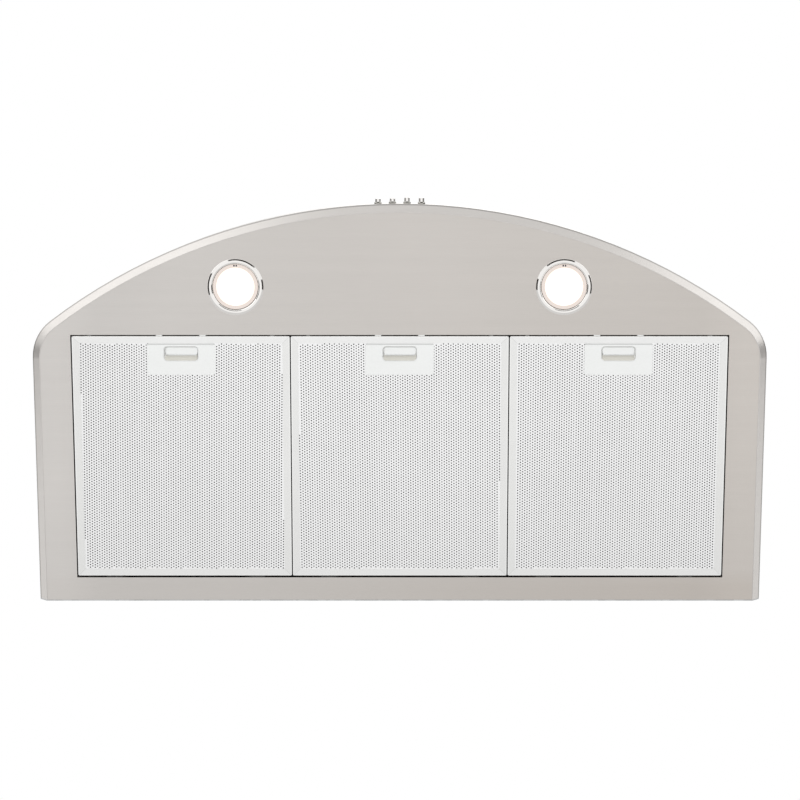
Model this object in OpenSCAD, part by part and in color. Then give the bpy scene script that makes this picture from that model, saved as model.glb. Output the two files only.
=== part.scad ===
// Pyramid range hood for a wall, with a bowed front, three grease filters,
// two lamps, four push buttons, a double-inlet blower and a telescoping chimney.
// The wall is the plane y = 0, the underside is z = 0, and the front faces -y.

/* [Canopy] */
// Overall width of the canopy
body_w = 900; // [860:5:940]
// Overall depth, from the wall to the middle of the front
body_d = 492; // [480:2:510]
// Radius of the bowed front
front_r = 713; // [690:1:740]
// Radius of the two front corners
corner_r = 56; // [50:1:62]
// Height of the canopy from underside to rim
canopy_h = 260; // [250:2:290]
// Height of the upright band round front and sides
band_h = 52; // [50:1:58]
// How far the bevel under the band runs in
bevel_in = 9.6; // [8:0.2:11]
// Height of that bevel
bevel_h = 8.6; // [7.6:0.2:10]
// Thickness of the canopy sheet
sheet_t = 1.2; // [1:0.1:1.4]
// Width of the flanges folded inwards on the band
flange_w = 14; // [12:0.5:16]
// Thickness of the flat panel under the canopy
panel_t = 1; // [0.8:0.1:1.2]
// Height of the hems folded up beside the filter opening
hem_h = 9; // [6:0.5:12]
// Thickness of the plate against the wall
back_t = 1.5; // [1.2:0.1:2]

/* [Chimney] */
// Width of the chimney where it stands on the canopy
chim_w = 280; // [276:1:300]
// Depth of the chimney
chim_d = 250; // [246:1:262]
// Height of the lower cover
lower_h = 420; // [380:5:450]
// Height of the upper cover
upper_h = 432; // [425:1:440]
// Thickness of the covers' sheet
chim_t = 1.2; // [1:0.1:1.4]
// Gap between the two covers
nest_gap = 0.4; // [0.3:0.05:0.6]
// Width of the returns folded in along the wall
return_w = 15; // [12:0.5:18]
// Number of air slots in each side of the upper cover
slot_count = 7; // [4:1:9]
// Length of an air slot
slot_l = 90; // [60:5:110]
// Width of an air slot
slot_w = 4; // [3:0.5:5]

/* [Filters] */
// Margin between the filter opening and the sides
side_margin = 48.3; // [46:0.1:54]
// Height of a filter
filter_h = 9; // [8.4:0.2:11]
// Width of the visible border of a filter
border_w = 8.8; // [8:0.2:11]
// Wall of the border's channel
border_t = 1; // [0.8:0.1:1.2]
// Bevel on the border's outer edge
border_bevel = 1.2; // [0.8:0.1:1.6]
// Gap between neighbouring filters
filter_gap = 1.4; // [1:0.1:2.4]
// Gap at the ends of the row
end_gap = 1.6; // [1:0.1:2.4]
// Gap in front of a filter
front_gap = 1.4; // [1:0.1:2]
// Gap behind a filter, where it pivots
rear_gap = 2; // [1.7:0.1:3]
// Margin between the filter opening and the wall
rear_margin = 29.9; // [27:0.1:33]
// Thickness of the perforated sheet
mesh_t = 0.6; // [0.5:0.1:0.8]
// Folds across the pleated layer above it
pleats = 20; // [12:1:26]

/* [Latches] */
// Width of the smooth plate round the grip
plate_w = 83.6; // [80:0.2:92]
// Length of that plate
plate_l = 39; // [39:0.5:44]
// Thickness of the plate
plate_t = 0.8; // [0.6:0.1:0.9]
// Width of the finger pocket
pocket_w = 42.5; // [38:0.5:46]
// Length of the finger pocket
pocket_l = 18.9; // [17:0.1:19.3]
// Corner radius of the finger pocket
pocket_r = 4; // [3:0.25:5]
// Depth of the finger pocket
pocket_deep = 5; // [4:0.1:5.2]
// Travel of the latch
latch_travel = 6; // [4.5:0.25:6.25]
// Distance of each prong from the latch's centre
prong_x = 26.5; // [25.5:0.5:28]
// Width of a prong
prong_w = 8; // [6:0.5:9]
// How far a prong reaches over the panel
prong_reach = 3; // [2:0.25:4]

/* [Lamps] */
// Distance of each lamp from the side
lamp_side = 250.6; // [244:0.2:260]
// Where the lamps stand in the room ahead of them: 0 at the rear, 1 at the front
lamp_share = 0.718; // [0.6:0.01:0.8]
// Outer diameter of the bezel
bezel_d = 68; // [66:1:72]
// Diameter of the hole in the panel
lamp_hole_d = 60.6; // [60:0.2:62]
// Diameter of the bulb's lit face
bulb_d = 48.6; // [47:0.2:49.2]
// Height of the lamp can above the panel
can_h = 50; // [48:1:56]

/* [Buttons] */
// Number of push buttons
button_count = 4;
// Spacing of the push buttons
button_pitch = 17.7; // [16:0.1:19]
// Height of the buttons above the underside
button_z = 28; // [26:0.5:30]
// Diameter of a button
button_d = 7; // [6:0.1:7.6]
// How far a button stands out of the band
button_out = 7.4; // [7:0.1:9]
// Travel of a button
button_travel = 3; // [2:0.1:3.2]
// Wall of the collar round a button
collar_t = 1; // [0.8:0.1:1.2]
// How far the collar stands out of the band
collar_out = 2.6; // [2:0.1:3]

/* [Blower] */
// Part of the chimney's depth that the fan wheel leaves free
wheel_room = 114; // [112:1:120]
// Width of the fan wheel
wheel_w = 92; // [84:1:94]
// Number of blades in each row
blades = 30; // [20:1:36]
// Depth of a blade, along the radius
blade_deep = 12; // [9:0.5:13]
// Gap round the motor in its inlet
motor_gap = 8; // [6:0.5:12]
// Length of the motor
motor_l = 74; // [60:1:80]
// Diameter of the motor's shaft
shaft_d = 8; // [6:0.5:10]
// Width of the scroll housing
scroll_w = 100; // [98:1:104]
// Gap between the blower box and the sides of the lower cover
box_side_gap = 14; // [12:0.5:18]
// Gap between the blower box and the front of the lower cover
box_front_gap = 12; // [10:0.5:15]
// Height of the blower box
box_h = 220; // [216:1:230]
// Outer diameter of the duct collar
duct_d = 149; // [140:1:150]
// Height of the duct collar
duct_h = 52; // [45:1:70]

/* [Fixing] */
// Diameter of the two holes that the hood hangs by
hang_d = 9; // [7:0.5:11]
// Distance between them
hang_spacing = 360; // [300:10:400]
// Height of them above the underside
hang_z = 170; // [150:2:190]
// Diameter of the fixing holes low in the back plate
fix_d = 5.5; // [4.5:0.5:6.5]
// Distance between them
fix_spacing = 700; // [640:10:760]
// Diameter of the wall bracket's holes
bracket_hole_d = 6; // [5:0.5:7]
// Distance between the wall bracket's holes
bracket_spacing = 160; // [120:5:190]
// Bore of the gland for the supply cable
gland_bore_d = 8.4; // [7:0.2:10]

/* [Hidden] */

// Colours
steel = [0.78, 0.77, 0.75];
bright = [0.90, 0.90, 0.91];
alu = [0.88, 0.88, 0.88];
dark = [0.18, 0.18, 0.19];
zinc = [0.66, 0.68, 0.70];

// Clearances
fit = 0.1;      // beside a piece that sits in a cut-out
seat = 0.3;     // over a face that a moving piece clears
past = 1;       // how far a cut runs past the face it opens
lap = 0.01;     // overlap that joins two stretches of one cut

// Plan of the canopy: a long front arc and two corner arcs, all about fixed
// centres, so that a plan set in by i has the same centres and smaller radii
half_w = body_w / 2;
arc_y = front_r - body_d;
side_d = sqrt(front_r * front_r - half_w * half_w) - arc_y;
corner_x = half_w - corner_r;
corner_y = arc_y - sqrt(pow(front_r - corner_r, 2) - pow(corner_x, 2));
corner_dir = [corner_x, corner_y - arc_y] / (front_r - corner_r);
corner_turn = atan2(-corner_dir[1], corner_dir[0]);
corner_steps = 8;
front_steps = 56;
wedge_past = 20;                             // how far a wedge runs past the front

// The panel lies under the band's foot flange
foot_z = panel_t;
foot_top = foot_z + sheet_t;
foot_in = bevel_in + 0.8;                    // edge of the panel's recess
foot_flange_in = foot_in + flange_w;         // inner edge of the foot flange
open_past = 1.4;                             // how far the opening runs past the sides
open_w = body_w - 2 * side_margin;
open_rear = -rear_margin;
open_front = -side_d - open_past;
open_l = open_rear - open_front;

// Filters: from the bottom up come the border's lip, the perforated sheet,
// the pleated layer and the border's upper lip
filter_w = (open_w - 2 * filter_gap - 2 * end_gap) / 3;
filter_l = open_l - front_gap - rear_gap;
filter_rear = open_rear - rear_gap;
filter_front = filter_rear - filter_l;
filter_pitch = filter_w + filter_gap;
lip_top = border_t;
lip_under = filter_h - border_t;
frame_r = 2.2;                               // round corners of the frame
tuck_room = 0.8;
tuck = border_w - border_t - tuck_room;      // how far a sheet reaches into the channel
hook_w = 20;
hook_x = filter_w / 3;
hook_t = 1.2;
pivot_z = panel_t + fit;
nub_w = 5;
nub_out = 0.7;
nub_h = 1.5;
nub_x = filter_w * 0.42;

// Latches, behind the front border
inner_front = filter_front + border_w;
plate_z = lip_top - plate_t;
plate_lap = 3.8;                             // the plate's edge over the sheets
plate_end = 0.6;
window_w = plate_w - 2 * plate_lap;
window_l = plate_l - plate_end;
pocket_ahead = 2.4;
pocket_y = inner_front + pocket_ahead;
slide_z = lip_top + seat;
slide_t = 1;
cup_wall = 1;
slider_w = 68;
slider_tail = 4;
slider_l = pocket_l + 2 * cup_wall + slider_tail;
slider_y = pocket_y - cup_wall - 1;
pocket_ramp = 6.8;
stop_t = 1;
spring_room = 5.2;                           // the spring's depth when the latch is pulled
stop_y = slider_y + slider_l + latch_travel + spring_room;
prong_z = slide_z;

// Lamps, between the line where the bow begins and the band's foot flange
lamp_x = half_w - lamp_side;
can_r = lamp_hole_d / 2 + 1.7;
can_rim = 5;
lamp_out = can_r + can_rim;
function flange_front(x) = sqrt(pow(front_r - foot_flange_in, 2) - x * x) - arc_y;
lamp_room = flange_front(lamp_x) - side_d - 2 * lamp_out;
lamp_y = side_d + lamp_out + lamp_share * lamp_room;
bezel_lip = 1.8;
sleeve_h = 7;
sleeve_r = lamp_hole_d / 2 - 0.3;
bezel_in_r = sleeve_r - 1.2;
clip_out_r = bezel_in_r - fit;
ledge_z = 0.8;
ledge_in_r = clip_out_r - 2.6;
clip_in_r = bulb_d / 2 + 0.3;
reflector_l = 24;
neck_r = 7;
neck_z = 38;

// Buttons: a bush in front, then the bracket, then the switch block
button_r = button_d / 2;
bush_in_r = button_r + fit;
bush_out_r = bush_in_r + collar_t;
bracket_y = -body_d + 3.7;                   // front face of the switch bracket
bracket_t = 1.2;
block_front = bracket_y + bracket_t;
block_l = 22;
block_h = 22;
tag_w = 0.8;
tag_h = 4.8;
tag_out = 7;
stem_r = 2;
stem_l = 15;
barrel_end = block_front - button_travel - seat;
button_row = (button_count - 1) * button_pitch;
short_out = 1;                               // the two left buttons stand out less
block_end = 8;
bracket_end = 6;
block_w = button_row + 2 * block_end;
bracket_w = block_w + 2 * bracket_end;

// Blower
box_rear = -12;
box_w = chim_w - 2 * box_side_gap;
box_d = chim_d - box_front_gap + box_rear;
box_y = box_rear - box_d / 2;
box_z = canopy_h;
box_top = box_z + box_h;
box_t = 1;
box_rim = 8;
rim_w = box_w - 8;
rim_d = box_d - 8;
rim_screw_d = 3;
rim_screw_in = 20;
rim_screw_x = box_w / 2 - rim_screw_in;
wheel_d = chim_d - wheel_room;
wheel_r = wheel_d / 2;
fan_down = 102;                              // the fan's axis, below the box's top
fan_z = box_top - fan_down;
blade_in = wheel_r - blade_deep;
blade_t = 0.9;
wheel_plate_t = 1.2;
end_ring_t = 2;
end_ring_w = 4;
wheel_gap = 6;                               // between the wheel and the scroll's tongue
tongue_r = wheel_r + wheel_gap;
scroll_grow = 21;
scroll_t = 1;
tongue_turn = 101;
wrap = 281;
scroll_gap = 4.452;                          // between the scroll and the box's rear wall
fan_y = box_rear - box_t - scroll_t - scroll_at(tongue_turn) - scroll_gap;
mouth_l = 80;
scroll_steps = 40;
mouth_front = fan_y - tongue_r - scroll_grow;
mouth_y = mouth_front + mouth_l / 2;
inlet_lap = 6;                               // how far the blades stand behind the inlet's edge
inlet_r = blade_in - inlet_lap;
ring_w = 10;
neck_l = 4;
neck_t = 1.2;
neck_fit = 0.2;
motor_r = inlet_r - motor_gap;
hub_r = 10;
hub_from = -10;
hub_to = 14;
motor_end = -18;
boss_r = 9;
boss_l = 3;
bell_l = 12;
bell_in = 8;
bell_step = 3;
mount_t = 3;
mount_w = 12;
mount_out = 12;
mount_rim = 5;
cap_r = 15;
cap_l = 62;
cap_up = 60;
tag_l = 8;
duct_r = duct_d / 2;
duct_t = 1.2;
duct_y = mouth_y;
ledge_up = 16;
flap_t = 0.8;
flap_r = duct_r - duct_t - 1;
pin_r = 1.5;
knuckle_r = 2.4;
pin_off = knuckle_r + 0.6;
pin_z = box_top + ledge_up + duct_t + seat + knuckle_r;
knuckle_l = 2 * (duct_r - 8.5);

// Electrical box and transformer, on the back plate
control_side = 205;
control_x = half_w - control_side;
control_z = 62;
control_w = 120;
control_d = 46;
control_h = 44;
control_t = 2;
gland_t = 2.6;
gland_spigot = 8;
gland_flange = 6;
gland_flange_t = 4;
gland_nut = 4.4;
gland_nut_h = 5;
gland_l = 16;
transformer_x = -control_x;
transformer_w = 96;
transformer_d = 44;
transformer_h = 34;
fix_ear = 9;
fix_ear_t = 4;

// Chimney covers
upper_in = chim_t + nest_gap;
slot_pitch = 9;
slot_top = 40;                               // top slot, below the cover's top
bracket_h = 30;
bracket_step = upper_in + chim_t + 0.3;
bracket_top = canopy_h + upper_h - 1;
screw_z = canopy_h + upper_h - 6;
ear_l = 26;

// Plan of the canopy set in by i0 at the bottom and i1 at the top, h high
module plan_solid(i0, i1, h, rear = -back_t) {
    ahead = -body_d - wedge_past;
    slope = corner_dir[0] / -corner_dir[1];
    near_x = slope * (arc_y - rear);
    far_x = slope * (arc_y - ahead);
    // the stretch under the long arc
    intersection() {
        translate([0, arc_y, 0]) cylinder(r1 = front_r - i0, r2 = front_r - i1, h = h, $fn = 240);
        linear_extrude(h) polygon([[-near_x, rear], [near_x, rear], [far_x, ahead], [-far_x, ahead]]);
    }
    // the two corners
    for (side = [0, 1]) mirror([side, 0, 0]) translate([corner_x, corner_y, 0]) intersection() {
        cylinder(r1 = corner_r - i0, r2 = corner_r - i1, h = h, $fn = 96);
        linear_extrude(h) polygon([
            [0, 0], [2 * corner_r, 0], [2 * corner_r, -2 * corner_r], 3 * corner_r * corner_dir
        ]);
    }
    // the straight sides
    translate([0, rear, 0]) rotate([90, 0, 0]) linear_extrude(rear - corner_y)
        polygon([[i0 - half_w, 0], [half_w - i0, 0], [half_w - i1, h], [i1 - half_w, h]]);
}

// Points of the same plan, set in by i, for the sloping sheet above the band
function corner_arc(i) = [
    for (k = [0:corner_steps])
        let (a = -corner_turn * k / corner_steps)
        [corner_x + (corner_r - i) * cos(a), corner_y + (corner_r - i) * sin(a)]
];
function front_arc(i) = [
    for (k = [1:front_steps - 1])
        let (a = -corner_turn - (180 - 2 * corner_turn) * k / front_steps)
        [(front_r - i) * cos(a), arc_y + (front_r - i) * sin(a)]
];
function flipped(points) = [
    for (k = [len(points) - 1:-1:0]) [-points[k][0], points[k][1]]
];
function plan_points(i, rear) = concat(
    [[half_w - i, rear]], corner_arc(i), front_arc(i), flipped(corner_arc(i)), [[i - half_w, rear]]
);

// A block with round corners of radius r
module round_block(w, l, h, r) {
    translate([-w / 2, r, 0]) cube([w, l - 2 * r, h]);
    translate([r - w / 2, 0, 0]) cube([w - 2 * r, l, h]);
    for (x = [r - w / 2, w / 2 - r], y = [r, l - r]) translate([x, y, 0]) cylinder(r = r, h = h, $fn = 32);
}

// Front of the band at distance x from the middle
function band_front(x) = arc_y - sqrt(front_r * front_r - x * x);
function button_at(i) = (i - (button_count - 1) / 2) * button_pitch;

// Canopy

// Solid under the pyramid's sheet: upright for land at its foot
module pyramid(i, top_z, foot, land, rear) {
    hull() {
        translate([0, 0, foot]) linear_extrude(land) polygon(plan_points(i, rear));
        translate([i - chim_w / 2, i - chim_d, top_z - sheet_t])
            cube([chim_w - 2 * i, chim_d - i + rear, sheet_t]);
    }
}

// Places what repeats at the four screws of the blower's rim
module at_rim_screws() {
    for (x = [-1, 1], y = [-1, 1])
        translate([x * rim_screw_x, box_y + y * (box_d + box_rim) / 2, 0]) children();
}
module rim_holes(z, h) {
    at_rim_screws() translate([0, 0, z]) cylinder(d = rim_screw_d + 0.3, h = h, $fn = 24);
}

module canopy_top() color(steel) {
    sheet_in = 1.5 * sheet_t;
    seam = 0.4;
    difference() {
        pyramid(seam, canopy_h, band_h, sheet_t, -back_t);
        pyramid(seam + sheet_in, canopy_h - sheet_t, band_h - past, sheet_t, past);
        // opening under the blower, framed by the rim that it stands on
        translate([-rim_w / 2, box_y - rim_d / 2, canopy_h - 3 * sheet_t]) cube([rim_w, rim_d, 6 * sheet_t]);
        rim_holes(canopy_h - 3 * sheet_t, 6 * sheet_t);
    }
}

module canopy_band() color(steel) difference() {
    union() {
        plan_solid(bevel_in, 0, bevel_h);
        translate([0, 0, bevel_h]) plan_solid(0, 0, band_h - bevel_h);
    }
    // room between the foot flange and the top flange
    bevel_wall = 1.4 * sheet_t;
    left = bevel_in * (1 - foot_top / bevel_h);
    translate([0, 0, foot_top]) plan_solid(left + bevel_wall, sheet_t, bevel_h - foot_top, past);
    translate([0, 0, bevel_h - lap]) plan_solid(sheet_t, sheet_t, band_h - bevel_h - sheet_t + lap, past);
    // the flanges' inner edges and the panel's recess
    translate([0, 0, -past]) plan_solid(foot_flange_in, foot_flange_in, band_h + 2 * past, past);
    translate([0, 0, -past]) plan_solid(foot_in, foot_in, panel_t + past, past);
    // bores for the bushes
    for (i = [0:button_count - 1]) translate([button_at(i), -body_d - past, button_z])
        rotate([-90, 0, 0]) cylinder(r = bush_out_r + fit, h = 3 + 2 * past, $fn = 32);
}

module back_plate() color(zinc) difference() {
    rotate([90, 0, 0]) linear_extrude(back_t) polygon([
        [bevel_in - half_w, 0], [half_w - bevel_in, 0], [half_w, bevel_h], [half_w, band_h],
        [chim_w / 2, canopy_h], [-chim_w / 2, canopy_h], [-half_w, band_h], [-half_w, bevel_h]
    ]);
    for (x = [-hang_spacing / 2, hang_spacing / 2]) translate([x, past, hang_z])
        rotate([90, 0, 0]) cylinder(d = hang_d, h = back_t + 2 * past, $fn = 48);
    for (x = [-fix_spacing / 2, fix_spacing / 2]) translate([x, past, band_h / 2])
        rotate([90, 0, 0]) cylinder(d = fix_d, h = back_t + 2 * past, $fn = 32);
}

module bottom_panel() color(steel) {
    difference() {
        plan_solid(foot_in + fit, foot_in + fit, panel_t);
        translate([-open_w / 2, open_front, -past]) cube([open_w, open_l, panel_t + 2 * past]);
        for (x = [-lamp_x, lamp_x]) translate([x, -lamp_y, -past])
            cylinder(d = lamp_hole_d, h = panel_t + 2 * past, $fn = 96);
    }
    // hems that stiffen the two sides of the opening
    for (side = [0, 1]) mirror([side, 0, 0])
        translate([open_w / 2, open_front, 0]) cube([panel_t, open_l, panel_t + hem_h]);
}

// Filters

// Places a piece of filter i, where 0 is the left one
module at_filter(i) {
    translate([(i - 1) * filter_pitch, 0, 0]) children();
}

module filter_frame(i) color(alu) at_filter(i) difference() {
    union() {
        difference() {
            translate([0, filter_front, 0]) round_block(filter_w, filter_l, filter_h, frame_r);
            // window, then the channel that holds the sheets
            translate([border_w - filter_w / 2, inner_front, -past])
                cube([filter_w - 2 * border_w, filter_l - 2 * border_w, filter_h + 2 * past]);
            translate([border_t - filter_w / 2, filter_front + border_t, lip_top])
                cube([filter_w - 2 * border_t, filter_l - 2 * border_t, lip_under - lip_top]);
        }
        // hooks that reach over the gap and stand on the panel's rear edge
        for (x = [-hook_x, hook_x]) translate([x - hook_w / 2, 0, 0]) {
            translate([0, filter_rear - border_t / 2, filter_h - hook_t])
                cube([hook_w, border_t / 2 + rear_gap + seat + hook_t, hook_t]);
            translate([0, open_rear + seat, pivot_z]) cube([hook_w, hook_t, filter_h - pivot_z]);
        }
        // nubs that keep the front edge off the panel
        for (x = [-nub_x, nub_x]) translate([x - nub_w / 2, filter_front - nub_out, border_bevel + seat])
            cube([nub_w, nub_out + border_t / 2, nub_h]);
    }
    // bevels along the lower outer edges
    for (side = [0, 1]) mirror([side, 0, 0]) translate([filter_w / 2, filter_front - past, 0])
        rotate([0, 45, 0]) cube([border_bevel * sqrt(2), filter_l + 2 * past, border_bevel * sqrt(2)]);
    for (y = [filter_front, filter_rear]) translate([0, y, 0]) rotate([45, 0, 0])
        cube([filter_w + 2 * past, border_bevel / sqrt(2), border_bevel / sqrt(2)], center = true);
    // ways out for the prongs
    for (x = [-prong_x, prong_x]) translate([x - prong_w / 2 - seat, filter_front - past, prong_z - seat])
        cube([prong_w + 2 * seat, border_t + 2 * past, slide_t + 2 * seat]);
}

// The sheets' outline: the whole filter less the bay for the latch
module sheet_bay(z, h) {
    translate([-window_w / 2, filter_front, z]) cube([window_w, border_w + window_l, h]);
}

module filter_mesh(i) color(bright) at_filter(i) difference() {
    translate([border_w - tuck - filter_w / 2, inner_front - tuck, lip_top])
        cube([filter_w - 2 * (border_w - tuck), filter_l - 2 * (border_w - tuck), mesh_t]);
    sheet_bay(lip_top - past, mesh_t + 2 * past);
}

// A sheet folded in even pleats that run from front to back
module filter_core(i) color(alu) at_filter(i) difference() {
    low = lip_top + mesh_t;
    rise = lip_under - low;
    wide = filter_w - 2 * (border_w - tuck);
    step = wide / pleats;
    thick = 0.5;
    fold = [for (k = [0:pleats]) [k * step - wide / 2, k % 2 == 0 ? 0 : rise - thick]];
    translate([0, inner_front - tuck, low]) rotate([90, 0, 0]) mirror([0, 0, 1])
        linear_extrude(filter_l - 2 * (border_w - tuck))
        polygon(concat(fold, [for (k = [pleats:-1:0]) fold[k] + [0, thick]]));
    sheet_bay(lip_top - past, filter_h + 2 * past);
}

// Latches

module latch_plate(i) color(bright) at_filter(i) {
    difference() {
        translate([0, inner_front + fit, plate_z]) round_block(plate_w, plate_l - fit, plate_t, 3);
        translate([0, pocket_y, plate_z - past])
            round_block(pocket_w, pocket_l, plate_t + 2 * past, pocket_r);
    }
    // upright stop that the spring leans on
    translate([-slider_w / 2, stop_y, plate_z]) cube([slider_w, stop_t, pocket_deep + plate_t]);
}

module latch_slider(i) color(bright) at_filter(i) {
    cup_h = pocket_deep + plate_t;
    difference() {
        union() {
            translate([-slider_w / 2, slider_y, slide_z]) cube([slider_w, slider_l, slide_t]);
            translate([0, pocket_y - cup_wall, slide_z])
                round_block(pocket_w + 2 * cup_wall, pocket_l + 2 * cup_wall, cup_h - seat,
                    pocket_r + cup_wall);
        }
        difference() {
            translate([0, pocket_y, slide_z - past])
                round_block(pocket_w, pocket_l, past + cup_h - seat - cup_wall, pocket_r);
            // ramp that the fingertip pulls on
            translate([-pocket_w / 2, pocket_y + pocket_l, slide_z]) rotate([90, 0, 90])
                linear_extrude(pocket_w)
                polygon([[-1, 0], [past, 0], [past, cup_h], [-pocket_ramp, cup_h]]);
        }
    }
    // prongs, out through the border and over the panel's edge
    tip = filter_front - front_gap - prong_reach;
    for (x = [-prong_x, prong_x]) translate([x - prong_w / 2, tip, prong_z])
        cube([prong_w, slider_y + 1 - tip, slide_t]);
}

// A bowed leaf spring between the slider and the plate's stop
module latch_spring(i) color(zinc) at_filter(i) {
    leaf_t = 0.5;
    leaf_w = 3.4;
    gap_y = slider_y + slider_l + 0.2;
    rise = stop_y - 0.2 - gap_y - leaf_t;
    half = 24;
    r = (half * half + rise * rise) / (2 * rise);
    translate([0, gap_y, slide_z + 0.2]) intersection() {
        translate([0, r, 0]) difference() {
            cylinder(r = r, h = leaf_w, $fn = 180);
            translate([0, 0, -past]) cylinder(r = r - leaf_t, h = leaf_w + 2 * past, $fn = 180);
        }
        translate([-half, 0, 0]) cube([2 * half, rise + leaf_t, leaf_w]);
    }
}

// Lamps

module at_lamp(side) {
    translate([side * lamp_x, -lamp_y, 0]) children();
}

module lamp_bezel(side) color(bright) at_lamp(side) rotate_extrude($fn = 96) {
    rim = bezel_lip / 2;
    // rounded flange under the panel
    translate([bezel_d / 2 - rim, -rim]) circle(r = rim, $fn = 32);
    translate([bezel_in_r, -bezel_lip]) square([bezel_d / 2 - rim - bezel_in_r, bezel_lip]);
    // sleeve through the panel
    translate([bezel_in_r, -rim]) square([sleeve_r - bezel_in_r, rim + sleeve_h]);
    // ledge that the clip ring seats against
    translate([ledge_in_r, ledge_z]) square([bezel_in_r - ledge_in_r + fit, 1.2]);
}

module lamp_clips(side) color(bright) at_lamp(side) {
    ring_t = 1.4;
    ring_z = ledge_z - ring_t;
    difference() {
        translate([0, 0, ring_z]) cylinder(r = clip_out_r, h = ring_t, $fn = 96);
        translate([0, 0, ring_z - past]) cylinder(r = clip_in_r, h = ring_t + 2 * past, $fn = 96);
    }
    for (a = [270, 30, 150]) rotate([0, 0, a])
        translate([clip_in_r + 0.6, -1.6, ring_z - 0.5]) cube([2.4, 3.2, 1]);
}

module lamp_bulb(side) color([1, 0.97, 0.9]) at_lamp(side) {
    face_r = bulb_d / 2;
    rotate_extrude($fn = 64) union() {
        // flat front glass
        translate([0, ledge_z - 1]) square([face_r, 2.4]);
        // reflector, flaring down from the neck
        polygon(concat([[0, ledge_z + 1]],
            [for (k = [0:8]) let (a = k / 8)
                [face_r - (face_r - neck_r) * pow(a, 1.6), ledge_z + 1 + reflector_l * a]],
            [[0, ledge_z + 1 + reflector_l]]));
        translate([0, ledge_z + reflector_l - 4]) square([neck_r, neck_z - ledge_z - reflector_l + 4]);
    }
}

module lamp_can(side) color(zinc) at_lamp(side) rotate_extrude($fn = 96) {
    translate([can_r, panel_t]) square([can_rim, sheet_t]);
    translate([can_r, panel_t]) square([sheet_t, can_h]);
    translate([0, panel_t + can_h - sheet_t]) square([can_r + lap, sheet_t]);
    // holder that the bulb's neck plugs into
    translate([0, neck_z]) square([10, panel_t + can_h - neck_z - sheet_t + lap]);
}

// Buttons

module button_collars() color(bright) for (i = [0:button_count - 1]) {
    front = band_front(button_at(i)) - collar_out;
    translate([button_at(i), bracket_y, button_z]) rotate([90, 0, 0]) difference() {
        union() {
            cylinder(r = bush_out_r - 0.4, h = bracket_y - front, $fn = 48);
            cylinder(r = bush_out_r, h = bracket_y - front - 0.6, $fn = 48);
        }
        translate([0, 0, -past]) cylinder(r = bush_in_r, h = bracket_y - front + 2 * past, $fn = 48);
    }
}

module button(i) color(bright) {
    out = button_out - (i < button_count / 2 ? short_out : 0);
    tip = band_front(button_at(i)) - out;
    long = barrel_end - tip;
    waist = out - collar_out - 0.6;
    translate([button_at(i), barrel_end, button_z]) rotate([90, 0, 0]) rotate_extrude($fn = 48) polygon([
        [0, -stem_l], [stem_r, -stem_l], [stem_r, 0], [button_r, 0],
        [button_r, long - waist], [button_r - 0.35, long - waist + 0.8], [button_r - 0.35, long - 2],
        [button_r, long - 1.4], [button_r, long - 0.7], [button_r - 0.7, long], [0, long]
    ]);
}

module switch_bracket() color(zinc) {
    low = button_z - block_h / 2 - 2;
    top = band_h - sheet_t;
    difference() {
        translate([-bracket_w / 2, bracket_y, low]) cube([bracket_w, bracket_t, top - low]);
        for (i = [0:button_count - 1]) translate([button_at(i), bracket_y - past, button_z])
            rotate([-90, 0, 0]) cylinder(r = bush_in_r, h = bracket_t + 2 * past, $fn = 48);
    }
    // tab that is welded under the band's top flange
    translate([-bracket_w / 2, bracket_y, top - bracket_t]) cube([bracket_w, flange_w - 4, bracket_t]);
}

module switch_block() color(dark) difference() {
    union() {
        translate([-block_w / 2, block_front, button_z - block_h / 2]) cube([block_w, block_l, block_h]);
        // contacts at the back
        for (i = [0:button_count - 1], z = [-tag_h, tag_h])
            translate([button_at(i) - tag_w / 2, block_front + block_l - lap, button_z + z - tag_h / 2])
                cube([tag_w, tag_out, tag_h]);
    }
    for (i = [0:button_count - 1]) translate([button_at(i), block_front - past, button_z])
        rotate([-90, 0, 0]) cylinder(r = stem_r + fit, h = stem_l + past, $fn = 32);
}

// Electrics

module control_box() color(dark) {
    translate([control_x - control_w / 2, -back_t - control_d, control_z]) difference() {
        cube([control_w, control_d, control_h]);
        translate([control_t, -past, control_t])
            cube([control_w - 2 * control_t, control_d + past - control_t, control_h - 2 * control_t]);
        // seat of the cable gland
        translate([control_w / 2, control_d / 2, control_h - control_t - past])
            cylinder(r = gland_bore_d / 2 + gland_t + 0.2, h = control_t + 2 * past, $fn = 48);
    }
}

module control_box_lid() color(dark) {
    y = -back_t - control_d;
    lip_w = control_w - 2 * control_t - 2 * fit;
    lip_h = control_h - 2 * control_t - 2 * fit;
    lip_t = 1.5;
    lip_l = 3;
    translate([control_x - control_w / 2, y - control_t, control_z]) cube([control_w, control_t, control_h]);
    translate([control_x - lip_w / 2, y - lap, control_z + control_t + fit]) difference() {
        cube([lip_w, lip_l, lip_h]);
        translate([lip_t, -past, lip_t]) cube([lip_w - 2 * lip_t, lip_l + 2 * past, lip_h - 2 * lip_t]);
    }
}

module cable_gland() color(dark) {
    bore_r = gland_bore_d / 2;
    top = control_z + control_h;
    translate([control_x, -back_t - control_d / 2, top]) rotate_extrude($fn = 64) union() {
        translate([bore_r, -gland_spigot]) square([gland_t, gland_spigot + lap]);
        translate([bore_r, 0]) square([gland_flange, gland_flange_t]);
        translate([bore_r, gland_flange_t - lap]) polygon([
            [0, 0], [gland_nut, 0], [gland_nut, gland_nut_h + lap],
            [2, gland_l - gland_flange_t + lap], [0, gland_l - gland_flange_t + lap]
        ]);
    }
}

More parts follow.
